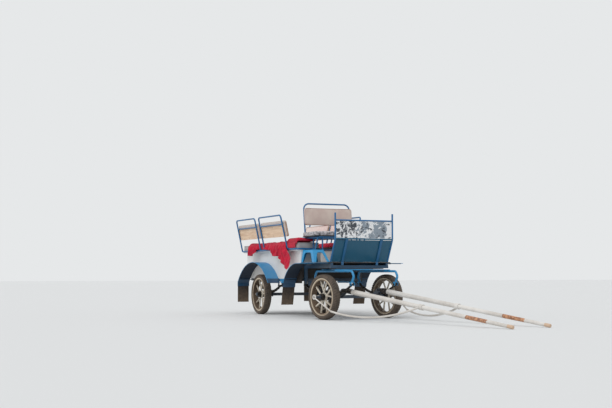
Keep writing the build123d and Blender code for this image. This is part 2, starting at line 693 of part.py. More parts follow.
def pedestal():
    """The right stand of the driver's seat: a splayed sheet box with an arched cut-out on each side."""
    shape = stand(0) - stand(PEDESTAL_WALL)
    side = arch(PEDESTAL_FOOT, PEDESTAL_HEAD, ARCH_SIDE_FOOT, ARCH_SIDE_HEAD)
    across = side_plate(side, -BODY_Y - 10, -PEDESTAL_IN + 10)
    across = fillet(across.edges().filter_by(Axis.Y).sort_by(Axis.Z)[-2:], ARCH_SIDE_R)
    head_y = (-BODY_Y + PEDESTAL_HEAD_OUT, -PEDESTAL_HEAD_IN)
    front = arch((-BODY_Y, -PEDESTAL_IN), head_y, ARCH_FRONT_FOOT, ARCH_FRONT_HEAD)
    rear_x, length = PEDESTAL_FOOT[0] - 20, PEDESTAL_FOOT[1] - PEDESTAL_FOOT[0] + 40
    along = extrude(Plane.YZ * make_face(Polyline(*front, close=True)), amount=length)
    along = fillet(along.edges().filter_by(Axis.X).sort_by(Axis.Z)[-2:], ARCH_FRONT_R)
    return shape - across - Pos(rear_x, 0, 0) * along


def driver_plane():
    """The leaning plane of the driver's back hoop: x to the left, y up the slope, z forward."""
    lean = radians(DRIVER_LEAN)
    return Plane(origin=(HOOP_FOOT_X, 0, SEAT_FRAME_Z), x_dir=(0, 1, 0), z_dir=(cos(lean), 0, sin(lean)))


def driver_seat_frame():
    """The seat's tube loop on its six posts, with the back hoop."""
    loop = tube_loop(SEAT_BACK_X, SEAT_FRONT_X, -DRIVER_Y, DRIVER_Y, SEAT_FRAME_Z, SEAT_LOOP_BEND, POST_R)
    side = []
    for x, y in SEAT_POSTS:
        head = min(y, DRIVER_Y - 3)
        side.append(rod((x, -y, PEDESTAL_TOP - 20), (x, -head, SEAT_FRAME_Z - 2), POST_R - 1))
        if y < DRIVER_Y - 20:
            side.append(rod((x, -y + 8, SEAT_FRAME_Z - 4), (x, -DRIVER_Y, SEAT_FRAME_Z - 4), POST_R - 2))
    shape = loop + pair(fuse(side))
    foot_z = PEDESTAL_TOP + GAP / 5
    shape = shape - block(SEAT_BACK_X, DASH_FOOT_X, -BODY_Y, BODY_Y, DECK_Z, foot_z)
    points = [(-DRIVER_Y, 0), (-DRIVER_Y, DRIVER_H), (DRIVER_Y, DRIVER_H), (DRIVER_Y, 0)]
    return shape + bent_tube(points, DRIVER_BEND, POST_R - 0.7, driver_plane())


def dash_frame():
    """Two cranked posts, two rails and two flat ribs that run down to the platform's frame."""
    slope = (DASH_X - DASH_FOOT_X) / (DASH_MID_Z - DECK_Z)
    foot = (DASH_FOOT_X - slope * DASH_POST_FOOT, DECK_Z - DASH_POST_FOOT)
    route = [foot, (DASH_X, DASH_MID_Z), (DASH_X, DASH_TOP_Z)]
    post_plane = Plane(origin=(0, -DASH_Y, 0), x_dir=(1, 0, 0), z_dir=(0, -1, 0))
    post = bent_tube(route, DASH_BEND, POST_R, post_plane)
    beside = 3 * POST_R
    below = (foot[1] - beside, DECK_Z + GAP / 5)
    post = post - block(foot[0] - beside, DASH_X, -DASH_Y - beside, -DASH_Y + beside, *below)
    foot_z = FRAME_Z + RAIL / 2 + 1
    out = DASH_FOOT_X + RIB_DEPTH
    outline = [(DASH_X - RIB_IN, DASH_MID_Z), (DASH_X + RIB_DEPTH, DASH_MID_Z), (out, DECK_Z),
               (out, foot_z), (out - RIB_T, foot_z), (out - RIB_T, DECK_Z)]
    rib = side_plate(outline, -RIB_Y - RIB_W / 2, -RIB_Y + RIB_W / 2)
    shape = post + cross_rod(DASH_X, -DASH_Y, DASH_Y, DASH_MID_Z + LEDGE_UP, DASH_RAIL_R)
    shape = shape + cross_rod(DASH_X, -DASH_Y, DASH_Y, DASH_RAIL_Z, DASH_RAIL_R)
    return shape + other_side(post) + rib + other_side(rib)


def dash_lower_panel():
    """The slanting sheet between the platform and the middle rail, inside the ribs."""
    half = DASH_Y - POST_R - 1
    slope = (DASH_X - DASH_FOOT_X) / (DASH_MID_Z - DECK_Z)
    low = (DASH_FOOT_X + PANEL_FOOT[0], DECK_Z + PANEL_FOOT[1])
    rise = DASH_MID_Z - PANEL_HEAD[1] - low[1]
    high = (low[0] + slope * rise - PANEL_HEAD[0], low[1] + rise)
    back = [(x - DASH_PANEL_T, z) for x, z in (high, low)]
    return side_plate([low, high, *back], -half, half)


def guard(radius, centre_x, top_z, flat_to=None, lean=0.0):
    """A mudguard of the right side and its flap.

    The guard is a thin arc about the wheel that ends behind in a straight strip. With flat_to, the
    arc starts at its top and a level running board goes on forward from there.
    """
    centre_z = top_z - radius
    inner = radius - GUARD_T
    half_end = sqrt(radius ** 2 - (GUARD_END_Z - centre_z) ** 2)
    turn = asin(half_end / radius)

    def at(r, angle):
        return (centre_x - r * sin(angle), centre_z + r * cos(angle))

    end = at(radius, turn)
    strip = (end[0] - STRIP_L * sin(lean), end[1] - STRIP_L * cos(lean))
    inner_strip = (strip[0] + GUARD_T, strip[1])
    edges = [Line(end, strip), Line(strip, inner_strip), Line(inner_strip, at(inner, turn))]
    if flat_to is None:
        edges = [ThreePointArc(at(radius, -turn), at(radius, 0), end)] + edges
        edges = edges + [ThreePointArc(at(inner, turn), at(inner, 0), at(inner, -turn)),
                         Line(at(inner, -turn), at(radius, -turn))]
    else:
        top, under = (flat_to, top_z), (flat_to, top_z - GUARD_T)
        edges = [Line(top, at(radius, 0)), ThreePointArc(at(radius, 0), at(radius, turn / 2), end)] + edges
        edges = edges + [ThreePointArc(at(inner, turn), at(inner, turn / 2), at(inner, 0)),
                         Line(at(inner, 0), under), Line(under, top)]
    plate = side_plate_of(edges, -GUARD_OUT_Y, -BODY_Y)
    drop = (GUARD_END_Z - FLAP_BOTTOM) / cos(lean)
    top = (end[0] - GAP / 5, end[1])
    low = (top[0] - drop * sin(lean), top[1] - drop * cos(lean))
    flap = side_plate([top, low, (low[0] - FLAP_T, low[1]), (top[0] - FLAP_T, top[1])],
                      -GUARD_OUT_Y + FLAP_INSET, -BODY_Y - FLAP_INSET)
    return plate, flap


def turntable(eye_z):
    """The lower ring with its cross bars, and the two bent tubes that carry the front springs."""
    z = LOWER_RING_Z
    lug_z = eye_z + HANGER_RISE
    tube_z = z - HANGER_R + 2
    knee_z = (lug_z + tube_z) / 2
    end = FRONT_SPRING_HALF
    shape = ring(z)
    for x, half in ((0, KING_BEAM / 2), (-TABLE_BAR_X, TABLE_BAR_W / 2), (TABLE_BAR_X, TABLE_BAR_W / 2)):
        shape = shape + block(x - half, x + half, -FRONT_SPRING_Y - 10, FRONT_SPRING_Y + 10, z, z + RING_T)
    plane = Plane(origin=(0, -FRONT_SPRING_Y, 0), x_dir=(1, 0, 0), z_dir=(0, -1, 0))
    knee = end + HANGER_KNEE
    front = [(end, tube_z), (knee, knee_z), (end, lug_z - 3)]
    route = [(-x, z) for x, z in reversed(front)] + front
    side = bent_tube(route, HANGER_BEND, HANGER_R, plane)
    for x in (-end, end):
        side = side + spring_fork(x, -FRONT_SPRING_Y, eye_z, lug_z)
    shape = shape + side + other_side(side)
    return shape - rod((0, 0, z - 1), (0, 0, z + RING_T + 1), KING_R + RUNNING_FIT)


def front_axle():
    """The steered axle with a pair of lugs and a pin for each shaft."""
    x, z = SHAFT_AHEAD, PIVOT_Z
    lug = [(across, WHEEL_R + up) for across, up in LUG_ROOT]
    lug = lug + [(x + across, z + up) for across, up in LUG_OUTLINE] + [(LUG_HEEL[0], WHEEL_R + LUG_HEEL[1])]
    cheeks = []
    for near in (-LUG_GAP - LUG_T, LUG_GAP):
        cheeks.append(side_plate(lug, -SHAFT_Y + near, -SHAFT_Y + near + LUG_T))
    reach = LUG_GAP + LUG_T + 6
    cheeks.append(cross_rod(x, -SHAFT_Y - reach, -SHAFT_Y + reach, z, LUG_PIN_R))
    side = fuse(cheeks)
    return Pos(0, 0, WHEEL_R) * axle(STUB_OUT_FRONT) + side + other_side(side)


def shaft_frame():
    """The right shaft's own frame at rest: x along the pole from its pin, with its tip on the ground."""
    dip = asin((PIVOT_Z - SHAFT_TIP_R - GAP / 5) / SHAFT_L)
    along, up = (cos(dip), 0, -sin(dip)), (sin(dip), 0, cos(dip))
    return Plane(origin=(SHAFT_AHEAD, -SHAFT_Y, PIVOT_Z), x_dir=along, z_dir=up)


def shaft_radius(s):
    """The pole's radius at a distance from its pin."""
    share = (s - SHAFT_START) / (SHAFT_L - TIP_L - SHAFT_START)
    return SHAFT_BUTT_R + (SHAFT_TIP_R - SHAFT_BUTT_R) * share


def shaft():
    """The tapered pole with a round tip and the iron eye on its pin."""
    soft = SHAFT_SOFT
    butt = [(SHAFT_START, 0), (SHAFT_START, SHAFT_BUTT_R - soft), (SHAFT_START + soft, SHAFT_BUTT_R)]
    tip = [(SHAFT_L - soft, SHAFT_TIP_R), (SHAFT_L, SHAFT_TIP_R - soft), (SHAFT_L, 0)]
    profile = Polyline(*butt, (SHAFT_L - TIP_L, SHAFT_TIP_R), *tip, close=True)
    pole = revolve(make_face(profile), axis=Axis.X)
    half = LUG_GAP - 2
    neck = SHAFT_NECK / 2
    strap = block(0, SHAFT_START + SHAFT_SOCKET, -half + 2, half - 2, -neck, neck)
    shape = pole + cross_rod(0, -half, half, 0, SHAFT_EYE_R) + strap
    return shaft_frame() * (shape - cross_rod(0, -half - 1, half + 1, 0, LUG_PIN_R + RUNNING_FIT))


def tie():
    """The stay of the right shaft: a ring round the axle's end, a link, a sagging pole and a band."""
    place = shaft_frame()
    near, far = TIE_S - TIE_BAND_L / 2, TIE_S + TIE_BAND_L / 2
    bore = shaft_radius(near) + 0.3
    band = rod((near, 0, 0), (far, 0, 0), bore + TIE_BAND_T) - rod((near - 1, 0, 0), (far + 1, 0, 0), bore)
    hold = place.from_local_coords((TIE_S, -bore - TIE_R - 1, 0))
    half = TIE_RING_T / 2
    ring_y = -TIE_RING_Y
    eye = cross_rod(0, ring_y - half, ring_y + half, WHEEL_R, TIE_RING_R)
    eye = eye - cross_rod(0, ring_y - half - 1, ring_y + half + 1, WHEEL_R, TIE_RING_BORE)
    start = Vector(TIE_RING_BORE, ring_y, WHEEL_R - TIE_RING_BORE + 2)
    low = Vector(WHEEL_R - 5, ring_y + TIE_IN, WHEEL_R - TIE_DROP)
    link = rod(start, low + (low - start).normalized() * 8, LINK_R)
    middle = (low + hold) / 2 + Vector(*TIE_BOW)
    path = ThreePointArc(low, middle, hold)
    pole = sweep(Plane(origin=path @ 0, z_dir=path % 0) * Circle(TIE_R), path=path)
    return eye + (link + (pole + place * band))


# Running gear at the rear, and the frame it carries
rear_spring, rear_eye_z = leaf_spring(REAR_SPRING_HALF, REAR_SPRING_RISE)
parts["rear_axle"] = Pos(-WHEELBASE, 0, WHEEL_R) * axle(STUB_OUT_REAR)
both_sides("rear_spring", Pos(-WHEELBASE, -REAR_SPRING_Y, 0) * rear_spring)
parts["chassis_frame"] = chassis_frame(rear_eye_z)

# Tub and platform
parts["tub_floor"] = block(TAIL_X + KICK_T, -BULKHEAD_BACK, -INNER_Y, INNER_Y, TUB_FLOOR_Z, FLOOR_TOP)
parts["driver_floor"] = block(-DECK_BACK, FRAME_FRONT - 10, -BODY_Y, BODY_Y, DECK_Z - DECK_T, DECK_Z)
parts["bulkhead"] = bulkhead()
both_sides("side_panel", side_panel())
both_sides("bench_box", bench_box())
both_sides("bench_frame", bench_frame())
for name, rear, front in HOOPS:
    both_sides("back_pad_" + name, back_pad(rear, front))
both_sides("bench_cushion", bench_cushion())
parts["bench_blanket_right"] = blanket_right()
parts["blanket_roll"] = blanket_roll()
parts["bench_blanket_left"] = blanket_left()

# Driver's seat and dashboard
both_sides("pedestal", pedestal())
parts["driver_seat_frame"] = driver_seat_frame()
board_z = SEAT_FRAME_Z + POST_R + GAP / 5
pad_z = board_z + SEAT_BOARD_T + GAP
board_y, pad_y = DRIVER_Y + SEAT_BOARD_OUT, DRIVER_Y + SEAT_PAD_OUT
parts["driver_seat_board"] = block(HOOP_FOOT_X + SEAT_BOARD_X[0], SEAT_FRONT_X + SEAT_BOARD_X[1],
                                   -board_y, board_y, board_z, pad_z - GAP)
pad_x = (HOOP_FOOT_X + SEAT_PAD_X[0], SEAT_FRONT_X + SEAT_PAD_X[1])
seat_pad = block(*pad_x, -pad_y, pad_y, pad_z, pad_z + SEAT_PAD_T)
parts["driver_seat_pad"] = fillet(seat_pad.edges().filter_by(Axis.Z), SEAT_PAD_CORNER)
back_y = DRIVER_Y + BACK_OUT
back = block(-back_y, back_y, BACK_LOW, BACK_HIGH, POST_R + GAP, POST_R + GAP + BACK_T)
parts["driver_back_cushion"] = driver_plane() * fillet(back.edges().filter_by(Axis.Z), PAD_CORNER)
parts["dash_frame"] = dash_frame()
parts["dash_lower_panel"] = dash_lower_panel()
parts["dash_upper_panel"] = block(DASH_X - DASH_PANEL_T / 2, DASH_X + DASH_PANEL_T / 2, -DASH_Y + POST_R + 1,
                                  DASH_Y - POST_R - 1, DASH_MID_Z + 17, DASH_RAIL_Z - DASH_RAIL_R - 1)

# Mudguards
rear_guard, rear_flap = guard(REAR_GUARD_R, REAR_GUARD_X, REAR_GUARD_TOP)
flap_lean = radians(FRONT_FLAP_LEAN)
front_guard, front_flap = guard(FRONT_GUARD_R, FRONT_GUARD_X, FRONT_GUARD_TOP, FRAME_FRONT, flap_lean)
both_sides("rear_guard", rear_guard)
both_sides("front_guard", front_guard)
both_sides("rear_flap", rear_flap)
both_sides("front_flap", front_flap)

# Fore-carriage, built straight ahead and turned
front_spring, front_eye_z = leaf_spring(FRONT_SPRING_HALF, FRONT_SPRING_RISE)
parts["turntable"] = STEER_TURN * turntable(front_eye_z)
both_sides("front_spring", Pos(0, -FRONT_SPRING_Y, 0) * front_spring, STEER_TURN)
parts["front_axle"] = STEER_TURN * front_axle()

# Wheels
tyre_shape = tyre()
wheel_shape = wheel()
for name, x, turn in (("rear", -WHEELBASE, Rot(0, 0, 0)), ("front", 0, STEER_TURN)):
    for side, y in (("right", -WHEEL_Y), ("left", WHEEL_Y)):
        place = turn * Pos(x, y, WHEEL_R)
        parts[f"tyre_{name}_{side}"] = place * tyre_shape
        parts[f"wheel_{name}_{side}"] = place * wheel_shape

# Shafts with their ties
both_sides("shaft", shaft(), STEER_TURN)
both_sides("tie", tie(), STEER_TURN)

# Everything is moved so that the origin lies on the ground under the middle of the whole object
boxes = [shape.bounding_box() for shape in parts.values()]
middle_x = (min(box.min.X for box in boxes) + max(box.max.X for box in boxes)) / 2
middle_y = (min(box.min.Y for box in boxes) + max(box.max.Y for box in boxes)) / 2
for name, shape in parts.items():
    export_step(Pos(-middle_x, -middle_y, 0) * shape, f"parts/{name}.step")
print(len(parts), "nodes; moved by", round(-middle_x, 3), round(-middle_y, 3))
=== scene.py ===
import json
from math import atan2, cos, pi, radians, sin

import bmesh
import bpy
import numpy as np
from bpy.props import FloatProperty, FloatVectorProperty, IntProperty, PointerProperty
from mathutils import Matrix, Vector


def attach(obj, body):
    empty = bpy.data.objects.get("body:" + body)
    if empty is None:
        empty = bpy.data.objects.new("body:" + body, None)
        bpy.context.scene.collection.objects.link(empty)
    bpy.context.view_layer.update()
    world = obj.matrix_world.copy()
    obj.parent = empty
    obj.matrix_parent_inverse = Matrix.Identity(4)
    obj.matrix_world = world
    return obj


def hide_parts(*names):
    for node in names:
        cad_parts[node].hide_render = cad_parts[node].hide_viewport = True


bl_info = {
    "name": "Open Wagonette Carriage",
    "version": (1, 0, 0),
    "blender": (4, 5, 0),
    "location": "View3D > Sidebar > Wagonette",
    "description": "Finishes, soft goods and fittings of an open wagonette carriage",
    "category": "Object",
}

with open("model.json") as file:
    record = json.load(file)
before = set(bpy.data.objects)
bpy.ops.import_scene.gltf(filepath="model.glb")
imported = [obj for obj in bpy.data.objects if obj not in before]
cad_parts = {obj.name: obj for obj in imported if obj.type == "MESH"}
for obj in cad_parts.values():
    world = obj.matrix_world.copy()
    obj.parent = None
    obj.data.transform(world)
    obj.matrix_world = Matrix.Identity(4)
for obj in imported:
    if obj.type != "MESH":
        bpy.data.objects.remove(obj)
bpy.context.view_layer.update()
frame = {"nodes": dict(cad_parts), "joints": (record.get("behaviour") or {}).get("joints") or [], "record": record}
JOINTS = {joint["name"]: joint for joint in frame["joints"]}
KING = Vector((*JOINTS["steer"]["pos_m"][:2], 0.0))
STEER = atan2(-JOINTS["front_wheel_right_spin"]["axis"][0], JOINTS["front_wheel_right_spin"]["axis"][1])
SLOTS = {entry["node"]: entry["material_slot"] for entry in frame["record"]["subparts"]}
SIDES = {"right": -1, "left": 1}

# Sizes of the frame in metres, which the pieces below fit, with x and z measured from the ground under the
# king pin
RIM_SEAT = 0.236  # radius of the rim's barrel
HUB_R = 0.0465  # radius of a hub
BODY_Y = 0.490  # outside of the side panels
RAIL_Y, RAIL_Z = 0.560, 0.990  # foot of the bench hoops
HOOP_LEAN = radians(12.3)
HOOP_SPAN = {"rear": (-2.958, -2.162), "front": (-2.000, -1.120)}
# Spans up the hoops, and faces out of them
PAD_SPAN, PAD_FACES = (0.188, 0.425), (-0.05875, -0.02075)
BOARD_SPAN, BOARD_FACES = (0.188, 0.364), (-0.02075, -0.01175)
CUSHION_X, CUSHION_Y, CUSHION_Z = (-2.954, -0.801), (0.182, 0.544), (0.9775, 1.0825)
DRIVER_FOOT = (-0.880, 1.150)  # x and z of the foot of the driver's hoop
DRIVER_LEAN = radians(7.8)
DRIVER_BACK = (0.384, 0.190, 0.440, 0.0125, 0.0575)  # half width, foot, head, near face, far face
DRIVER_PAD = (-0.866, -0.430, 0.432, 1.1746, 1.2376)  # rear, front, half width, low, high
GUARD_Y = (0.490, 0.690)
REAR_GUARD = (-2.200, 0.010, 0.800)  # x and z of the arc's centre, and its radius
FRONT_GUARD = (-0.500, 0.227, 0.550)
PLATFORM_NOSE = 0.119  # x of the front guards' forward ends
WHEEL_LIP = (0.246, 0.241)  # radii between which a rim's cream lip turns brown towards the axle
# Distances from a shaft's bolt where its rusty stretch begins and ends, and where its bare end begins
SHAFT_RUST = (2.400, 2.412, 2.750, 2.762)
SHAFT_BARE = (3.014, 3.020)
# Places across the dash between which its ink, its wash and its clear end set in
INK_SPAN, WASH_SPAN, CLEAR_SPAN = (-0.05, -0.25), (-0.26, 0.12), (0.29, 0.40)
UP = np.array([0, 0, 1.0])


def at(x, y, z):
    """Points of the carriage, measured from the ground under the king pin, in the row's frame."""
    x, y, z = np.broadcast_arrays(x, y, z)
    return np.stack([KING.x + x, KING.y + y, z + 0.0], axis=-1)


def steered(x, y, z):
    """The same for points of the fore-carriage, measured as if it pointed straight ahead."""
    c, s = cos(STEER), sin(STEER)
    return at(x * c - y * s, x * s + y * c, z)


def on_hoops(sign, x, v, w):
    """Points of a bench's leaning hoop plane: x along the body, v up the plane and w out of it."""
    c, s = cos(HOOP_LEAN), sin(HOOP_LEAN)
    return at(x, sign * (RAIL_Y + s * v + c * w), RAIL_Z + c * v - s * w)


def on_driver_back(u, v, w):
    """Points of the driver's leaning hoop plane: u to the left, v up the plane and w forward out of it."""
    c, s = cos(DRIVER_LEAN), sin(DRIVER_LEAN)
    return at(DRIVER_FOOT[0] - s * v + c * w, u, DRIVER_FOOT[1] + c * v + s * w)


# Colour and node helpers

def linear(code):
    """An sRGB hex code as a linear colour with alpha."""
    channels = [int(code[i:i + 2], 16) / 255 for i in (1, 3, 5)]
    return tuple(c / 12.92 if c <= 0.04045 else ((c + 0.055) / 1.055) ** 2.4 for c in channels) + (1.0,)


def rgba(code):
    """A linear colour with alpha, from the name of a colour setting or from an sRGB hex code."""
    if code.startswith("#"):
        return linear(code)
    return tuple(getattr(bpy.context.scene.wagonette.colours, code))


def wire(tree, node, sockets):
    """Set a shader node's inputs to plain values, or link other nodes' outputs to them."""
    for key, value in sockets.items():
        if isinstance(value, bpy.types.NodeSocket):
            tree.links.new(value, node.inputs[key])
        else:
            node.inputs[key].default_value = value


def add(tree, kind, inputs, output=0, **settings):
    """Add a shader node with its settings, wire its inputs, and give one of its outputs."""
    node = tree.nodes.new("ShaderNode" + kind)
    for key, value in settings.items():
        setattr(node, key, value)
    wire(tree, node, inputs)
    return node.outputs[output] if node.outputs else node


def finish(name, make, *values, **options):
    """The material of that name, made once by a recipe that fills its node tree."""
    material = bpy.data.materials.get(name)
    if material is None:
        material = bpy.data.materials.new(name)
        material.use_nodes = True
        tree = material.node_tree
        make(tree, tree.nodes["Principled BSDF"], *values, **options)
    return material


# How a Mix node blends two colours, and its inputs: the share of the second, the first and the second
BLEND = {"output": 2, "data_type": "RGBA"}
SHARE, FIRST, SECOND = 0, 6, 7


# Finishes

def painted_light_by_facing(tree, tone, code, low=0.1, high=0.75):
    """A tone that turns to another colour where the surface faces up: painted light and shade, set by the way each
    face looks.
    """
    facing = add(tree, "SeparateXYZ", {0: add(tree, "NewGeometry", {}, "Normal")}, 2)
    upward = add(tree, "MapRange", {"Value": facing, "From Min": low, "From Max": high})
    return add(tree, "Mix", {SHARE: upward, FIRST: tone, SECOND: rgba(code)}, **BLEND)


def enamel(tree, shader, code, dust=0.35, wear=0.5, gloss=0.34, soil="#9c9184", bare="#4a423c", mud=0.75):
    """Enamel brushed on welded steel. The eye gets a slightly uneven coat with dust where it faces up, dried
    mud low down and dark chips along worn edges."""
    place = add(tree, "TexCoord", {}, "Object")
    broad = add(tree, "TexNoise", {"Vector": place, "Scale": 2.6, "Detail": 6.0, "Roughness": 0.62})
    grain = add(tree, "TexNoise", {"Vector": place, "Scale": 70.0, "Detail": 5.0, "Roughness": 0.6})
    normal = add(tree, "NewGeometry", {}, "Normal")
    facing = add(tree, "SeparateXYZ", {0: normal}, 2)
    height = add(tree, "SeparateXYZ", {0: place}, 2)
    upward = add(tree, "MapRange", {"Value": facing, "From Min": 0.1, "From Max": 1.0, "To Max": 0.8})
    low = add(tree, "MapRange", {"Value": height, "From Min": mud, "From Max": 0.15, "To Max": 0.8})
    lying = add(tree, "Math", {0: upward, 1: low}, operation="MAXIMUM")
    settled = add(tree, "Math", {0: lying, 1: 0.2}, operation="ADD")
    patch = add(tree, "MapRange", {"Value": broad, "From Min": 0.34, "From Max": 0.72})
    film = add(tree, "Math", {0: settled, 1: patch}, operation="MULTIPLY")
    amount = add(tree, "Math", {0: film, 1: dust * 2}, operation="MULTIPLY", use_clamp=True)
    coat = rgba(code)
    shade = tuple(c * 0.8 for c in coat[:3]) + (1.0,)
    tone = add(tree, "Mix", {SHARE: grain, FIRST: coat, SECOND: shade}, **BLEND)
    dusty = add(tree, "Mix", {SHARE: amount, FIRST: tone, SECOND: rgba(soil)}, **BLEND)
    rounded = add(tree, "Bevel", {"Radius": 0.0025}, samples=4)
    turn = add(tree, "VectorMath", {0: rounded, 1: normal}, "Value", operation="DOT_PRODUCT")
    edge = add(tree, "MapRange", {"Value": turn, "From Min": 0.97, "From Max": 0.85})
    flake = add(tree, "MapRange", {"Value": grain, "From Min": 0.5, "From Max": 0.62, "To Max": wear})
    worn = add(tree, "Math", {0: edge, 1: flake}, operation="MULTIPLY")
    colour = add(tree, "Mix", {SHARE: worn, FIRST: dusty, SECOND: rgba(bare)}, **BLEND)
    rough = add(tree, "MapRange", {"Value": amount, "To Min": gloss, "To Max": 0.85})
    bump = add(tree, "Bump", {"Height": grain, "Normal": rounded, "Strength": 0.3, "Distance": 0.0005})
    wire(tree, shader, {"Base Color": colour, "Roughness": rough, "Normal": bump, "IOR": 1.5})


def panel_enamel(tree, shader, code, foot, level):
    """The tub's side enamel. The eye gets the same dusty white coat, and a brushed blue band along the sill,
    up to a level that wavers by 8 mm."""
    enamel(tree, shader, code, 0.28)
    coat = shader.inputs["Base Color"].links[0].from_socket
    place = add(tree, "TexCoord", {}, "Object")
    waver = add(tree, "TexNoise", {"Vector": place, "Scale": 9.0, "Detail": 3.0})
    height = add(tree, "SeparateXYZ", {0: place}, 2)
    stray = add(tree, "Math", {0: waver, 1: 0.008}, operation="MULTIPLY")
    edge = add(tree, "Math", {0: height, 1: stray}, operation="ADD")
    band = add(tree, "MapRange", {"Value": edge, "From Min": level + 0.006, "From Max": level + 0.002})
    colour = add(tree, "Mix", {SHARE: band, FIRST: coat, SECOND: rgba(foot)}, **BLEND)
    wire(tree, shader, {"Base Color": colour})


def rim_enamel(tree, shader, code, soil, centre, axle):
    """Rim enamel. The eye gets a cream line along the rim's outer lip and a brown tone inside it, by the
    distance from the axle, the length of (place - centre) x axle."""
    enamel(tree, shader, code, 0.40, 0.5, 0.4, soil)
    coat = shader.inputs["Base Color"].links[0].from_socket
    place = add(tree, "TexCoord", {}, "Object")
    arm = add(tree, "VectorMath", {0: place, 1: centre}, operation="SUBTRACT")
    across = add(tree, "VectorMath", {0: arm, 1: axle}, operation="CROSS_PRODUCT")
    away = add(tree, "VectorMath", {0: across}, "Value", operation="LENGTH")
    clean, muddy = WHEEL_LIP
    # this mask turns the rim brown inside its lip, towards the axle
    mud = add(tree, "MapRange", {"Value": away, "From Min": clean, "From Max": muddy, "To Max": 0.85})
    colour = add(tree, "Mix", {SHARE: mud, FIRST: coat, SECOND: rgba(soil)}, **BLEND)
    wire(tree, shader, {"Base Color": colour})


def shaft_enamel(tree, shader, code, rust, deep, bare, pin):
    """Enamel on a shaft. The eye gets an off-white pole with one ragged stretch rubbed through to patchy rust
    near its head, and a bare tan end past it, by the distance from the shaft's bolt."""
    enamel(tree, shader, code)
    rust_start, rust_full, rust_thin, rust_end = SHAFT_RUST
    bare_start, bare_full = SHAFT_BARE
    coat = shader.inputs["Base Color"].links[0].from_socket
    place = add(tree, "TexCoord", {}, "Object")
    reach = add(tree, "VectorMath", {0: place, 1: pin}, "Value", operation="DISTANCE")
    blotch = add(tree, "TexNoise", {"Vector": place, "Scale": 32.0, "Detail": 6.0, "Roughness": 0.68})
    stray = add(tree, "Math", {0: blotch, 1: 0.10}, operation="MULTIPLY")
    ragged = add(tree, "Math", {0: reach, 1: stray}, operation="ADD")
    start = add(tree, "MapRange", {"Value": ragged, "From Min": rust_start, "From Max": rust_full})
    stop = add(tree, "MapRange",
               {"Value": ragged, "From Min": rust_end, "From Max": rust_thin, "To Max": 0.94})
    rubbed = add(tree, "Math", {0: start, 1: stop}, operation="MULTIPLY")
    depth = add(tree, "MapRange", {"Value": blotch, "From Min": 0.45, "From Max": 0.58, "To Max": 0.9})
    rusty = add(tree, "Mix", {SHARE: depth, FIRST: rgba(rust), SECOND: rgba(deep)}, **BLEND)
    tone = add(tree, "Mix", {SHARE: rubbed, FIRST: coat, SECOND: rusty}, **BLEND)
    end = add(tree, "MapRange",
              {"Value": reach, "From Min": bare_start, "From Max": bare_full, "To Max": 0.9})
    colour = add(tree, "Mix", {SHARE: end, FIRST: tone, SECOND: rgba(bare)}, **BLEND)
    wire(tree, shader, {"Base Color": colour})


def plain(tree, shader, code):
    """Studio paper. The eye gets one even pale tone."""
    wire(tree, shader, {"Base Color": rgba(code), "Roughness": 0.95, "IOR": 1.2})


def plywood(tree, shader, code, dark):
    """Varnished birch plywood. The eye gets long pale figure along the board and a few darker streaks."""
    place = add(tree, "TexCoord", {}, "Object")
    along = add(tree, "Mapping", {"Vector": place, "Scale": (1.0, 9.0, 9.0)})
    figure = add(tree, "TexNoise",
                 {"Vector": along, "Scale": 3.0, "Detail": 8.0, "Roughness": 0.6, "Distortion": 0.6})
    pores = add(tree, "TexNoise", {"Vector": along, "Scale": 34.0, "Detail": 3.0})
    streak = add(tree, "MapRange", {"Value": figure, "From Min": 0.42, "From Max": 0.66})
    fleck = add(tree, "MapRange", {"Value": pores, "From Min": 0.5, "From Max": 0.75, "To Max": 0.3})
    tone = add(tree, "Mix", {SHARE: streak, FIRST: rgba(code), SECOND: rgba(dark)}, **BLEND)
    colour = add(tree, "Mix", {SHARE: fleck, FIRST: tone, SECOND: rgba(dark)}, **BLEND)
    bump = add(tree, "Bump", {"Height": pores, "Strength": 0.2, "Distance": 0.0004})
    wire(tree, shader, {"Base Color": colour, "Roughness": 0.48, "Normal": bump, "IOR": 1.45})


def vinyl(tree, shader, code, soil="#d6cdc0", top=None, sheen=0.25):
    """Upholsterer's vinyl. The eye gets a fine leather pebble, soft highlights and a thin bloom of dust, and
    on a border the top tone except where it faces down, where its own tone stays as painted shade."""
    place = add(tree, "TexCoord", {}, "Object")
    pebble = add(tree, "TexVoronoi", {"Vector": place, "Scale": 420.0}, feature="SMOOTH_F1")
    cloud = add(tree, "TexNoise", {"Vector": place, "Scale": 6.0, "Detail": 5.0})
    bloom = add(tree, "MapRange", {"Value": cloud, "From Min": 0.42, "From Max": 0.7, "To Max": 0.4})
    colour = add(tree, "Mix", {SHARE: bloom, FIRST: rgba(code), SECOND: rgba(soil)}, **BLEND)
    if top:
        # the border keeps its own tone only where it faces down, as painted shade below the cushion
        colour = painted_light_by_facing(tree, colour, top, -0.6, -0.3)
    bump = add(tree, "Bump", {"Height": pebble, "Strength": 0.25, "Distance": 0.0006})
    wire(tree, shader,
         {"Base Color": colour, "Roughness": 0.5, "Normal": bump, "Sheen Weight": sheen, "IOR": 1.5})


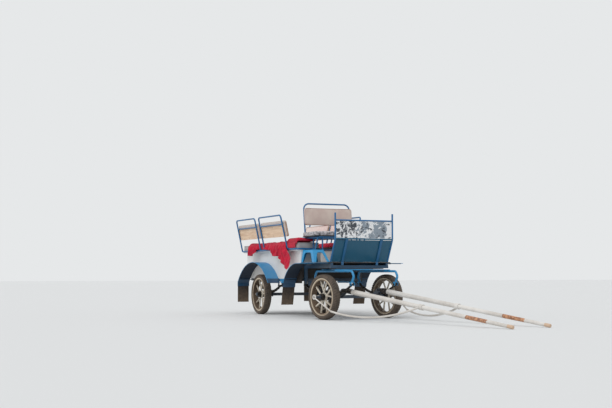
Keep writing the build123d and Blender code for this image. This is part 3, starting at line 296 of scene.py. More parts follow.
def woven(tree, shader, code, second, mottle=0.5, scale=30.0, depth=0.0012, shade=0.25, top=None, nap=0.5,
          weave=900.0):
    """Woven or knitted upholstery cloth. The eye gets two mixed yarn tones, a weave whose darkening towards
    black is painted shade between the yarns, drawn about twice as coarse as its half millimetre so that
    it shows, and a soft nap; a border turns paler where it faces up, as painted light."""
    place = add(tree, "TexCoord", {}, "Object")
    cloud = add(tree, "TexNoise", {"Vector": place, "Scale": scale, "Detail": 6.0, "Roughness": 0.7})
    yarn = add(tree, "TexNoise", {"Vector": place, "Scale": weave, "Detail": 2.0})
    blend = add(tree, "MapRange", {"Value": cloud, "From Min": 0.4, "From Max": 0.6, "To Max": mottle})
    tone = add(tree, "Mix", {SHARE: blend, FIRST: rgba(code), SECOND: rgba(second)}, **BLEND)
    # the fine yarn noise darkens the tone towards black: painted shade between the yarns
    deep = add(tree, "MapRange", {"Value": yarn, "From Min": 0.35, "From Max": 0.65, "To Max": shade})
    colour = add(tree, "Mix", {SHARE: deep, FIRST: tone, SECOND: rgba("#000000")}, **BLEND)
    if top:
        # a border turns to the paler top tone where it faces up: painted light
        colour = painted_light_by_facing(tree, colour, top)
    rise = add(tree, "Math", {0: cloud, 1: yarn}, operation="ADD")
    bump = add(tree, "Bump", {"Height": rise, "Strength": 0.5, "Distance": depth})
    wire(tree, shader, {"Base Color": colour, "Roughness": 0.95, "Normal": bump, "Sheen Weight": nap,
                        "Sheen Roughness": 0.5})


def tyre_rubber(tree, shader):
    """Tyre rubber under dried mud. The eye gets grey-black rubber on the lugs and pale brown earth in the
    grooves and over the side walls."""
    place = add(tree, "TexCoord", {}, "Object")
    patch = add(tree, "TexNoise", {"Vector": place, "Scale": 9.0, "Detail": 7.0, "Roughness": 0.7})
    crumb = add(tree, "TexNoise", {"Vector": place, "Scale": 160.0, "Detail": 4.0})
    groove = add(tree, "Attribute", {}, "Fac", attribute_name="groove")
    lift = add(tree, "Math", {0: patch, 1: groove}, operation="ADD")
    cover = add(tree, "MapRange", {"Value": lift, "From Min": 0.28, "From Max": 0.75})
    earth = add(tree, "Mix", {SHARE: crumb, FIRST: rgba("#74675b"), SECOND: rgba("#483d35")}, **BLEND)
    colour = add(tree, "Mix", {SHARE: cover, FIRST: rgba("#2b2826"), SECOND: earth}, **BLEND)
    bump = add(tree, "Bump", {"Height": crumb, "Strength": 0.6, "Distance": 0.0015})
    wire(tree, shader, {"Base Color": colour, "Roughness": 0.92, "Normal": bump, "IOR": 1.5})


def flap_rubber(tree, shader):
    """Ribless conveyor rubber. The eye gets a dull black-brown sheet, splashed with earth near its foot."""
    place = add(tree, "TexCoord", {}, "Object")
    splash = add(tree, "TexNoise", {"Vector": place, "Scale": 24.0, "Detail": 6.0, "Roughness": 0.72})
    height = add(tree, "SeparateXYZ", {0: place}, 2)
    foot = add(tree, "MapRange", {"Value": height, "From Min": 0.45, "From Max": 0.18, "To Max": 0.5})
    lift = add(tree, "Math", {0: splash, 1: foot}, operation="ADD")
    cover = add(tree, "MapRange", {"Value": lift, "From Min": 0.6, "From Max": 1.15, "To Max": 0.75})
    colour = add(tree, "Mix", {SHARE: cover, FIRST: rgba("#38302b"), SECOND: rgba("#7c6a57")}, **BLEND)
    bump = add(tree, "Bump", {"Height": splash, "Strength": 0.4, "Distance": 0.001})
    wire(tree, shader, {"Base Color": colour, "Roughness": 0.85, "Normal": bump, "IOR": 1.5})


def greasy_steel(tree, shader, code="#3d3a38", soil="#7a6a58"):
    """Forged steel of the springs and fittings. The eye gets dark oily metal with earth stuck to it."""
    place = add(tree, "TexCoord", {}, "Object")
    patch = add(tree, "TexNoise", {"Vector": place, "Scale": 18.0, "Detail": 7.0, "Roughness": 0.7})
    cover = add(tree, "MapRange", {"Value": patch, "From Min": 0.48, "From Max": 0.66, "To Max": 0.7})
    colour = add(tree, "Mix", {SHARE: cover, FIRST: rgba(code), SECOND: rgba(soil)}, **BLEND)
    rough = add(tree, "MapRange", {"Value": cover, "To Min": 0.42, "To Max": 0.9})
    metal = add(tree, "MapRange", {"Value": cover, "To Min": 0.7, "To Max": 0.0})
    bump = add(tree, "Bump", {"Height": patch, "Strength": 0.3, "Distance": 0.0008})
    wire(tree, shader, {"Base Color": colour, "Roughness": rough, "Metallic": metal, "Normal": bump})


def marbled(tree, shader):
    """The dash's printed sheet, in a generic pattern. The eye gets a chalk-white board with torn charcoal
    blotches at one end and broad slate clouds at the other, by their place across the dash."""
    ink_from, ink_to, wash_from, wash_to, clear_from, clear_to = (
        KING.y + y for span in (INK_SPAN, WASH_SPAN, CLEAR_SPAN) for y in span)
    place = add(tree, "TexCoord", {}, "Object")
    side = add(tree, "SeparateXYZ", {0: place}, 1)
    blot = add(tree, "TexNoise",
               {"Vector": place, "Scale": 13.0, "Detail": 7.0, "Roughness": 0.72, "Distortion": 0.8})
    cloud = add(tree, "TexNoise",
                {"Vector": place, "Scale": 4.2, "Detail": 9.0, "Roughness": 0.66, "Distortion": 1.1})
    right = add(tree, "MapRange",
                {"Value": side, "From Min": ink_from, "From Max": ink_to, "To Max": 0.07})
    dark = add(tree, "Math", {0: blot, 1: right}, operation="ADD")
    ink = add(tree, "MapRange", {"Value": dark, "From Min": 0.555, "From Max": 0.575})
    left = add(tree, "MapRange",
               {"Value": side, "From Min": wash_from, "From Max": wash_to, "To Min": -0.12, "To Max": 0.06})
    end = add(tree, "MapRange",
              {"Value": side, "From Min": clear_from, "From Max": clear_to, "To Max": -0.25})
    shifted = add(tree, "Math", {0: cloud, 1: left}, operation="ADD")
    soft = add(tree, "Math", {0: shifted, 1: end}, operation="ADD")
    wash = add(tree, "MapRange", {"Value": soft, "From Min": 0.5, "From Max": 0.53, "To Max": 0.9})
    pale = add(tree, "Mix", {SHARE: wash, FIRST: rgba("#dfe1e3"), SECOND: rgba("#74828f")}, **BLEND)
    colour = add(tree, "Mix", {SHARE: ink, FIRST: pale, SECOND: rgba("#3a4048")}, **BLEND)
    wire(tree, shader, {"Base Color": colour, "Roughness": 0.42, "IOR": 1.5})


BLUE = ("guard_blue_enamel", enamel, "guards", 0.15)
SEAT_BLUE = ("pedestal_blue_enamel", enamel, "pedestals", 0.08)
TUBE_BLUE = ("tube_blue_enamel", enamel, "tubes", 0.06)
RIB_BLUE = ("rib_blue_enamel", enamel, "#18608f", 0.06)
BEAM_BLUE = ("beam_blue_enamel", enamel, "#18425f", 0.12)
NAVY = ("navy_enamel", enamel, "underframe", 0.22)
# a darker navy for every mudguard face below a set height
LOW_NAVY = ("strip_navy_enamel", enamel, "#154668", 0.10)
PETROL = ("petrol_enamel", enamel, "#145a77", 0.06)
WHITE = ("white_enamel", enamel, "body", 0.28)
PANEL_WHITE = ("white_panel_enamel", panel_enamel, "body", "sill", 0.553)
# near-black navy for the mudguards' undersides: painted shade
SHADED_UNDERSIDE = ("guard_underside", enamel, "#0e2439", 0.07, 0.4, 0.75)
BROWN_BOARD = ("bulkhead_enamel", enamel, "#1e1917", 0.15, 0.5, 0.6)
BROWN_BARREL = ("muddy_rim_enamel", enamel, "#6d5b49", 0.8, 0.6, 0.7, "#4a3d32")
SPOKE = ("pale_spoke_enamel", enamel, "#e0d8c8", 0.40, 0.5, 0.45, "#7a6654")
SHAFT = ("off_white_shaft_enamel", enamel, "shafts")
FERRULE = ("dark_ferrule", greasy_steel)
STEEL = ("greasy_spring_steel", greasy_steel, "#2c2a29", "#5c4d3f")
PLATED = ("dull_zinc_fasteners", greasy_steel, "#8d8f92", "#6f665c")
PLY = ("birch_plywood", plywood, "boards", "#c8a484")
BLACK_BOARD = ("black_board_enamel", enamel, "#232325")
GREY_VINYL = ("pebbled_grey_vinyl", vinyl, "seats")
TAUPE_VINYL = ("pebbled_taupe_vinyl", vinyl, "driver_back")
# brown on the driver's back cushion's border only where it faces down: painted shade under it
UNDERSIDE_SHADE_VINYL = ("tan_vinyl_border", vinyl, "#9a6844", "#a2754f", "driver_back")
# One pad fabric in two copies: darker on the right bench as painted shade, paler on the left as painted light
SHADED_PAD_CLOTH = ("woven_pink_brown_fabric", woven, "near_backs", "#bfada0", 0.5, 30.0, 0.0012, 0.12)
LIT_PAD_CLOTH = ("pale_pink_fabric", woven, "far_backs", "#dcc5ba", 0.5, 30.0, 0.0012, 0.10)
# a tan border fabric that turns pale where it faces up: painted light on the bench backs' top edges
LIT_TOP_PAD_BORDER = ("tan_fabric_border", woven, "#b9a08d", "#9c8271", 0.6, 30.0, 0.0012, 0.15, "#cbc2ba")
RED_CLOTH = ("red_fleece_cloth", woven, "cloths", "#8e1430", 0.55, 16.0, 0.0020, 0.30, None, 0.06)
FLEECE = ("speckled_grey_fleece", woven, "fleece", "#5c5a60", 1.0, 26.0, 0.0050, 0.25)
MARBLED = ("marbled_dash_sheet", marbled)
TYRE = ("muddy_tyre_rubber", tyre_rubber)
FLAP = ("splashed_flap_rubber", flap_rubber)

SLOT_FINISH = {
    "blue_paint": BLUE, "navy_paint": NAVY, "petrol_paint": PETROL, "white_paint": WHITE,
    "marbled_panel": MARBLED, "plywood": PLY, "black_board": BLACK_BOARD, "grey_vinyl": GREY_VINYL,
    "taupe_vinyl": TAUPE_VINYL, "pink_brown_fabric": SHADED_PAD_CLOTH, "red_cloth": RED_CLOTH,
    "mottled_fleece": FLEECE, "tyre_rubber": TYRE, "steel": STEEL,
    "shaft_paint": SHAFT, "flap_rubber": FLAP,
}


# Mesh helpers

def grid_quads(rows, columns, wrap_rows=False, wrap_columns=False):
    """The quads of a grid of points numbered row by row, wrapped round where asked."""
    i = np.arange(rows if wrap_rows else rows - 1)[:, None]
    j = np.arange(columns if wrap_columns else columns - 1)[None, :]
    low, high = (j + 0) % columns, (j + 1) % columns
    near, far = i * columns, (i + 1) % rows * columns
    return np.stack([near + low, near + high, far + high, far + low], axis=-1).reshape(-1, 4)


def shell(name, parts, recipes, slots=None, smooth=True, weld=0.0):
    """A mesh from parts of (points, quads). Its material is the first, unless slots gives one for each part
    or for each quad of a part."""
    mesh = bpy.data.meshes.new(name)
    starts = np.cumsum([0] + [len(points) for points, _ in parts])
    points = np.concatenate([points for points, _ in parts])
    quads = np.concatenate([part + start for (_, part), start in zip(parts, starts)])
    mesh.from_pydata(points.tolist(), [], quads.tolist())
    for recipe in recipes:
        mesh.materials.append(finish(*recipe))
    if slots:
        index = np.concatenate([np.broadcast_to(slot, len(part)) for (_, part), slot in zip(parts, slots)])
        mesh.polygons.foreach_set("material_index", index.astype(np.int32))
    mesh.polygons.foreach_set("use_smooth", np.full(len(mesh.polygons), smooth))
    if weld:
        work = bmesh.new()
        work.from_mesh(mesh)
        bmesh.ops.remove_doubles(work, verts=work.verts, dist=weld)
        bmesh.ops.dissolve_degenerate(work, edges=work.edges, dist=weld / 10)
        bmesh.ops.recalc_face_normals(work, faces=work.faces)
        work.to_mesh(mesh)
        work.free()
    mesh.update()
    return mesh


def build(name, parts, recipes, **options):
    """An object at the origin with such a mesh."""
    obj = bpy.data.objects.new(name, shell(name, parts, recipes, **options))
    bpy.context.collection.objects.link(obj)
    return obj


def tube(path, radius, up, sides=8, closed=True):
    """A round bar along a path: point = path + r (cos a * side + sin a * up), side = tangent x up.

    A closed path runs round; an open one is capped by rings that shrink to its end points.
    """
    path = np.asarray(path, float)
    radius = np.broadcast_to(radius, len(path)).astype(float)
    if not closed:
        path = np.concatenate([path[:1], path, path[-1:]])
        radius = np.concatenate([[0.0], radius, [0.0]])
        tangent = np.gradient(path[1:-1], axis=0)
        tangent = np.concatenate([tangent[:1], tangent, tangent[-1:]])
    else:
        tangent = np.roll(path, -1, axis=0) - np.roll(path, 1, axis=0)
    tangent /= np.linalg.norm(tangent, axis=1, keepdims=True)
    side = np.cross(tangent, np.asarray(up, float))
    side /= np.linalg.norm(side, axis=1, keepdims=True)
    rise = np.cross(side, tangent)
    turn = np.arange(sides) / sides * 2 * pi
    ring = np.cos(turn)[None, :, None] * side[:, None] + np.sin(turn)[None, :, None] * rise[:, None]
    points = path[:, None] + radius[:, None, None] * ring
    return points.reshape(-1, 3), grid_quads(len(path), sides, closed, True)[:, ::-1]


def box_lattice(counts):
    """The surface of a box cut into cells: its lattice points, 0 to counts, and quads that face out."""
    cells = []
    for axis in range(3):
        b, c = (axis + 1) % 3, (axis + 2) % 3
        i, j = np.meshgrid(np.arange(counts[b]), np.arange(counts[c]), indexing="ij")
        for level, turn in ((0, ((0, 0), (0, 1), (1, 1), (1, 0))),
                            (counts[axis], ((0, 0), (1, 0), (1, 1), (0, 1)))):
            cell = np.zeros(i.shape + (4, 3), int)
            cell[..., axis] = level
            cell[..., b] = i[..., None] + np.array([step[0] for step in turn])
            cell[..., c] = j[..., None] + np.array([step[1] for step in turn])
            cells.append(cell.reshape(-1, 4, 3))
    cells = np.concatenate(cells)
    points, index = np.unique(cells.reshape(-1, 3), axis=0, return_inverse=True)
    return points, index.reshape(-1, 4)


def rounded(unit, half, corner):
    """Points of a square of half width 1 moved into a rectangle with round corners.

    Past the inner rectangle, the corner's square (a, b) becomes a quarter disc
    (a sqrt(1 - b^2 / 2), b sqrt(1 - a^2 / 2)).
    """
    inner = np.asarray(half) - corner
    flat = np.abs(unit) * half
    over = np.clip(flat - inner, 0, None) / corner
    disc = over * np.sqrt(1 - over[:, ::-1] ** 2 / 2)
    return np.sign(unit) * (np.minimum(flat, inner) + corner * disc)


def perimeter(half, corner, step):
    """A rounded rectangle's outline as points about a step apart, anticlockwise."""
    turn = np.linspace(0, pi / 2, max(3, int(corner * pi / 2 / step) + 2))
    pieces = []
    for quarter, (sx, sy) in enumerate(((1, 1), (-1, 1), (-1, -1), (1, -1))):
        arc = turn + quarter * pi / 2
        centre = np.array([sx, sy]) * (np.asarray(half) - corner)
        pieces.append(centre + corner * np.stack([np.cos(arc), np.sin(arc)], axis=1))
    ring = np.concatenate(pieces)
    chord = np.linalg.norm(np.roll(ring, -1, axis=0) - ring, axis=1)
    along = np.concatenate([[0], np.cumsum(chord)])
    wanted = np.linspace(0, along[-1], max(16, int(along[-1] / step)), endpoint=False)
    ring = np.concatenate([ring, ring[:1]])
    return np.stack([np.interp(wanted, along, ring[:, k]) for k in (0, 1)], axis=1)


# Settings

# What a colour setting's four channels share
COLOUR = {"size": 4, "min": 0.0, "max": 1.0, "subtype": "COLOR"}


class WAGONETTE_colour_settings(bpy.types.PropertyGroup):
    """The colours of the coats, covers and cloths."""
    guards: FloatVectorProperty(name="Mudguards", description="Enamel of the mudguards",
                                default=linear("#1c88bf"), **COLOUR)
    pedestals: FloatVectorProperty(name="Pedestals", description="Enamel of the driver's pedestals",
                                   default=linear("#1f9cd6"), **COLOUR)
    tubes: FloatVectorProperty(name="Tubes", description="Enamel of the hoops, rails and dash frame",
                               default=linear("#17659a"), **COLOUR)
    underframe: FloatVectorProperty(name="Underframe", description="Enamel of the underframe and axles",
                                    default=linear("#16334a"), **COLOUR)
    body: FloatVectorProperty(name="Body", description="Enamel of the tub",
                              default=linear("#f0f0ef"), **COLOUR)
    sill: FloatVectorProperty(name="Sill", description="Band along the foot of the side panels",
                              default=linear("#2a7fb0"), **COLOUR)
    rims: FloatVectorProperty(name="Rims", description="Enamel of the wheel rims",
                              default=linear("#dccfb6"), **COLOUR)
    shafts: FloatVectorProperty(name="Shafts", description="Enamel of the shafts",
                                default=linear("#e2dfda"), **COLOUR)
    boards: FloatVectorProperty(name="Boards", description="Plywood of the bench backs",
                                default=linear("#e5c9ac"), **COLOUR)
    seats: FloatVectorProperty(name="Seats", description="Vinyl of the bench cushions",
                               default=linear("#999699"), **COLOUR)
    # The two backs' colours are one fabric: darker on the right as painted shade, paler on the left as painted
    # light
    near_backs: FloatVectorProperty(name="Near Backs", description="Fabric of the right bench's backs",
                                    default=linear("#d6c9c1"), **COLOUR)
    far_backs: FloatVectorProperty(name="Far Backs", description="Fabric of the left bench's backs",
                                   default=linear("#eddcd5"), **COLOUR)
    driver_back: FloatVectorProperty(name="Driver's Back", description="Vinyl of the driver's back cushion",
                                     default=linear("#baa69e"), **COLOUR)
    fleece: FloatVectorProperty(name="Fleece", description="Fleece of the driver's seat",
                                default=linear("#d6d1d4"), **COLOUR)
    cloths: FloatVectorProperty(name="Cloths", description="Fleece of the loose cloths",
                                default=linear("#cf0a35"), **COLOUR)
    floor: FloatVectorProperty(name="Floor", description="Paper that the carriage stands on",
                               default=linear("#dadcdd"), **COLOUR)
    backdrop: FloatVectorProperty(name="Backdrop", description="Colour seen behind the carriage",
                                  default=linear("#e6e8e9"), **COLOUR)


class WAGONETTE_stage_settings(bpy.types.PropertyGroup):
    """How the carriage is seen and lit."""
    lens: FloatProperty(name="Lens", description="Focal length of the camera", default=60.0, unit="CAMERA")
    eye: FloatVectorProperty(name="Eye", description="Camera's place, from the ground under the king pin",
                             default=(12.720, -6.593, 0.61), subtype="XYZ", unit="LENGTH")
    turn: FloatVectorProperty(name="Turn", description="Camera's rotation",
                              default=(radians(93.98), 0.0, radians(65.4)), subtype="EULER", unit="ROTATION")
    sun: FloatProperty(name="Sun", description="Strength of the soft key light", default=1.30)
    sky: FloatProperty(name="Sky", description="Strength of the light from all round", default=0.74)


class WAGONETTE_wheel_settings(bpy.types.PropertyGroup):
    """The tyres' tread."""
    lugs: IntProperty(name="Lugs", description="Lugs round each shoulder", default=56, min=8)
    depth: FloatProperty(name="Tread Depth", description="Depth of the grooves", default=0.006, unit="LENGTH")
    groove: FloatProperty(name="Groove Share", description="Share of the pitch that is groove", default=0.34,
                          min=0.0, max=1.0, subtype="FACTOR")


class WAGONETTE_soft_settings(bpy.types.PropertyGroup):
    """How full the cushions are and how they are sewn."""
    pressure: FloatProperty(name="Pressure", description="Cloth pressure that fills a cushion", default=4.0)
    frames: IntProperty(name="Frames", description="Frames that the filling runs for", default=20, min=2)
    crown: FloatProperty(name="Crown", description="How far a cushion's face may rise", default=0.012,
                         unit="LENGTH")
    welt: FloatProperty(name="Welt", description="Radius of the piping along the seams", default=0.0042,
                        unit="LENGTH")
    cell: FloatProperty(name="Cell", description="Mesh step of a cushion", default=0.018, unit="LENGTH")


class WAGONETTE_cloth_settings(bpy.types.PropertyGroup):
    """The loose cloths."""
    thick: FloatProperty(name="Thickness", description="Thickness of a loose cloth", default=0.0035,
                         unit="LENGTH")
    fold: FloatProperty(name="Fold", description="Half the depth of the hanging folds", default=0.022,
                        unit="LENGTH")
    cell: FloatProperty(name="Cell", description="Mesh step of a cloth", default=0.012, unit="LENGTH")


class WAGONETTE_settings(bpy.types.PropertyGroup):
    """Everything the wagonette's operators read."""
    stage: PointerProperty(type=WAGONETTE_stage_settings)
    colours: PointerProperty(type=WAGONETTE_colour_settings)
    wheels: PointerProperty(type=WAGONETTE_wheel_settings)
    soft: PointerProperty(type=WAGONETTE_soft_settings)
    cloths: PointerProperty(type=WAGONETTE_cloth_settings)


# Stage and paint

FLOOR_HALF = 90.0
SENSOR_WIDTH = 36.0  # millimetres
VIEW_END = 400.0  # the camera sees past the floor's far corners
KEY_SPREAD, KEY_TURN = radians(38), (radians(34), radians(28), 0)  # the soft key light's width and heading


class WAGONETTE_OT_stage(bpy.types.Operator):
    """Set the camera, the floor and the soft light"""
    bl_idname = "wagonette.stage"
    bl_label = "Set the Stage"

    def execute(self, context):
        settings = context.scene.wagonette.stage
        lens = bpy.data.cameras.new("camera")
        lens.lens = settings.lens
        lens.sensor_width = SENSOR_WIDTH
        lens.clip_end = VIEW_END
        camera = bpy.data.objects.new("camera", lens)
        camera.location = at(*settings.eye)
        camera.rotation_euler = settings.turn
        context.collection.objects.link(camera)
        context.scene.camera = camera

        key = bpy.data.lights.new("key", "SUN")
        key.energy = settings.sun
        key.angle = KEY_SPREAD
        sun = bpy.data.objects.new("key", key)
        sun.rotation_euler = KEY_TURN
        context.collection.objects.link(sun)

        corners = FLOOR_HALF * np.array([(-1.0, -1.0, 0), (1, -1, 0), (1, 1, 0), (-1, 1, 0)])
        floor = build("floor", [(corners, np.array([(0, 1, 2, 3)]))], [("floor", plain, "floor")],
                      smooth=False)
        world = bpy.data.worlds.new("studio")
        world.use_nodes = True
        tree = world.node_tree
        tree.nodes.clear()
        seen = add(tree, "LightPath", {}, "Is Camera Ray")
        glossy = add(tree, "LightPath", {}, "Is Glossy Ray")
        passed = add(tree, "LightPath", {}, "Is Transmission Ray")
        direct = add(tree, "Math", {0: seen, 1: glossy}, operation="MAXIMUM")
        shown = add(tree, "Math", {0: direct, 1: passed}, operation="MAXIMUM")
        light = add(tree, "Background", {"Color": (1.0, 1.0, 1.0, 1.0), "Strength": settings.sky})
        backdrop = add(tree, "Background", {"Color": rgba("backdrop"), "Strength": 1.0})
        both = add(tree, "MixShader", {0: shown, 1: light, 2: backdrop})
        add(tree, "OutputWorld", {"Surface": both})
        context.scene.world = world
        context.scene.view_settings.view_transform = "Standard"
        return {"FINISHED"}


def facets(obj):
    """The centres and normals of an object's faces."""
    count = len(obj.data.polygons)
    centre, normal = np.empty(count * 3), np.empty(count * 3)
    obj.data.polygons.foreach_get("center", centre)
    obj.data.polygons.foreach_get("normal", normal)
    return centre.reshape(-1, 3), normal.reshape(-1, 3)


def retouch(obj, *recipes_and_masks):
    """Give the faces in each mask that mask's finish; a later mask wins."""
    index = np.zeros(len(obj.data.polygons), np.int32)
    for number, (recipe, mask) in enumerate(recipes_and_masks, start=1):
        obj.data.materials.append(finish(*recipe))
        index[mask] = number
    obj.data.polygons.foreach_set("material_index", index)


def rim_finish(corner):
    """A wheel's own rim enamel, which needs the wheel's centre and axle."""
    spin = JOINTS[corner.replace("_", "_wheel_") + "_spin"]
    return f"{corner}_rim_enamel", rim_enamel, "rims", "#7a6654", spin["pos_m"], spin["axis"]


def shaft_finish(side):
    """A shaft's own enamel, which needs the place of the shaft's bolt."""
    pin = JOINTS[f"shaft_{side}_lift"]["pos_m"]
    return f"{side}_shaft_enamel", shaft_enamel, "shafts", "#c28b62", "#774225", "#c6a88c", pin


NODE_FINISH = {
    "dash_frame": TUBE_BLUE, "driver_seat_frame": TUBE_BLUE, "bulkhead": BROWN_BOARD,
    **{f"bench_frame_{side}": TUBE_BLUE for side in SIDES},
    **{f"pedestal_{side}": SEAT_BLUE for side in SIDES},
    **{f"side_panel_{side}": PANEL_WHITE for side in SIDES},
    **{f"shaft_{side}": shaft_finish(side) for side in SIDES},
    **{f"wheel_{end}_{side}": rim_finish(f"{end}_{side}") for end in ("front", "rear") for side in SIDES},
}
# Places that tell the finishes of one node apart, in metres
NAVY_TOP = 0.56  # a mudguard's faces are a darker navy below this height
SPOKE_REACH = 0.221  # the spokes end here, from the axle
BARREL_REACH = RIM_SEAT + 0.002  # the rim's brown barrel lies inside this
GREASE_REACH, GREASE_FACE = HUB_R + 0.006, 0.014  # a hub's greasy ends lie inside the one and past the other
FERRULE_REACH = 0.16  # a shaft's ironwork ends here, from its bolt
DASH_RAIL = (1.104, 0.013, 0.434)  # height, half height and half width of the rail between the dash's panels
DASH_RIB = (0.27, 0.019, 1.1)  # y, half width and top of the ribs under it
BULKHEAD_POST = (-0.80, -0.68, 0.562)  # rear, front and foot of the post under the bulkhead
BEAM_FOOT = 0.703  # the platform's beams lie above this


class WAGONETTE_OT_paint(bpy.types.Operator):
    """Give every CAD node its finish, with undersides painted dark as shade, and rims, spokes and ledges told
    apart by their place
    """
    bl_idname = "wagonette.paint"
    bl_label = "Paint the Frame"

    def execute(self, context):
        nodes = frame["nodes"]
        for node, obj in nodes.items():
            obj.data.materials.clear()
            obj.data.materials.append(finish(*(NODE_FINISH.get(node) or SLOT_FINISH[SLOTS[node]])))
        for side in SIDES:
            self.guards(side)
            self.wheels(side)
            centre, _ = facets(nodes[f"shaft_{side}"])
            butt = np.array(JOINTS[f"shaft_{side}_lift"]["pos_m"])
            iron = np.linalg.norm(centre - butt, axis=1) < FERRULE_REACH
            retouch(nodes[f"shaft_{side}"], (FERRULE, iron))

        centre, _ = facets(nodes["dash_frame"])
        _, y, z = (centre - np.array(KING)).T
        level, half, reach = DASH_RAIL
        rib_y, rib_half, rib_top = DASH_RIB
        retouch(nodes["dash_frame"], (PETROL, (np.abs(z - level) < half) & (np.abs(y) < reach)),
                (RIB_BLUE, (np.abs(np.abs(y) - rib_y) < rib_half) & (z < rib_top)))

        centre, _ = facets(nodes["chassis_frame"])
        x, _, z = (centre - np.array(KING)).T
        rear, front, foot = BULKHEAD_POST
        post = (x > rear) & (x < front) & (z > foot)
        retouch(nodes["chassis_frame"], (BEAM_BLUE, post | ((x > rear) & (z > BEAM_FOOT))))
        return {"FINISHED"}

    def guards(self, side):
        """Dark navy undersides, painted shade where a face looks at the arc's centre or down, and a darker navy on
        every face below a set height.
        """
        for guard, (centre_x, centre_z, radius) in ((f"rear_guard_{side}", REAR_GUARD),
                                                    (f"front_guard_{side}", FRONT_GUARD)):
            obj = frame["nodes"][guard]
            centre, normal = facets(obj)
            inward = at(centre_x, 0, centre_z) - centre
            # faces that look at the arc's centre, or down where the guard runs flat, get painted shade
            under = normal[:, 0] * inward[:, 0] + normal[:, 2] * inward[:, 2] > 0
            flat = np.abs(centre[:, 0] - (KING.x + centre_x)) > radius
            under = np.where(flat, normal[:, 2] < -0.5, under)
            retouch(obj, (SHADED_UNDERSIDE, under), (LOW_NAVY, centre[:, 2] < NAVY_TOP))

    def wheels(self, side):
        """A brown barrel, pale spokes and a greasy hub, by the distance from the axle and along it."""
        for end in ("front", "rear"):
            obj = frame["nodes"][f"wheel_{end}_{side}"]
            spin = JOINTS[f"{end}_wheel_{side}_spin"]
            hub, axis = np.array(spin["pos_m"]), np.array(spin["axis"])
            centre, normal = facets(obj)
            offset = (centre - hub) @ axis
            away = np.linalg.norm(centre - hub - np.outer(offset, axis), axis=1)
            barrel = (away < BARREL_REACH) & (np.abs(normal @ axis) < 0.8)
            greasy = (away < GREASE_REACH) & (np.abs(offset) > GREASE_FACE)
            retouch(obj, (BROWN_BARREL, barrel), (SPOKE, away < SPOKE_REACH), (STEEL, greasy))


def softened(points, times=3, closed=False):
    """A polyline with its corners cut: each run (p, q) gives 3p/4 + q/4 and p/4 + 3q/4, a few times over."""
    points = np.asarray(points, float)
    for _ in range(times):
        follow = np.roll(points, -1, axis=0) if closed else points[1:]
        lead = points if closed else points[:-1]
        cut = np.stack([0.75 * lead + 0.25 * follow, 0.25 * lead + 0.75 * follow], axis=1)
        cut = cut.reshape(-1, points.shape[1])
        points = cut if closed else np.concatenate([points[:1], cut, points[-1:]])
    return points


def spaced(points, count):
    """The same polyline as count points at even steps along it."""
    points = np.asarray(points, float)
    along = np.concatenate([[0], np.cumsum(np.linalg.norm(np.diff(points, axis=0), axis=1))])
    wanted = np.linspace(0, along[-1], count)
    return np.stack([np.interp(wanted, along, points[:, k]) for k in range(points.shape[1])], axis=1)


def ripple(x, y, seed, size):
    """Soft unevenness from -1 to 1: the mean of six sine waves of differing heading, length and phase."""
    rng = np.random.default_rng(seed)
    heading = rng.uniform(0, pi, 6)
    length = size * rng.uniform(0.55, 1.7, 6)
    phase = rng.uniform(0, 2 * pi, 6)
    x, y = np.asarray(x)[..., None], np.asarray(y)[..., None]
    return np.sin((x * np.cos(heading) + y * np.sin(heading)) / length * 2 * pi + phase).mean(axis=-1) * 1.6


def ramp(value, width):
    """A mask with a soft edge: 0 where the value is negative, 1 past the width, and even between."""
    return np.clip(value / width, 0, 1)


def store(obj, name, values):
    """Keep one number for each vertex as an attribute that a finish can read."""
    layer = obj.data.attributes.new(name, "FLOAT", "POINT")
    layer.data.foreach_set("value", np.asarray(values, np.float32))


# Tyres

# Half of a tyre's section, from the tread's middle to the bead: radius and half width
TYRE_SECTION = ((0.3100, 0.0), (0.3095, 0.020), (0.3068, 0.038), (0.2990, 0.0510), (0.2850, 0.0562),
                (0.2690, 0.0540), (0.2570, 0.0462), (0.2500, 0.0400), (0.2440, 0.0380))
TYRE_ROWS = 51
LUG_COLUMNS = 8  # mesh columns for each lug
LUG_SPAN = (0.013, 0.066)  # the lugs' inner and outer ends, along the section from its middle
RIB_GROOVE = (0.0145, 0.0035)  # middle and half width of the groove beside the middle rib


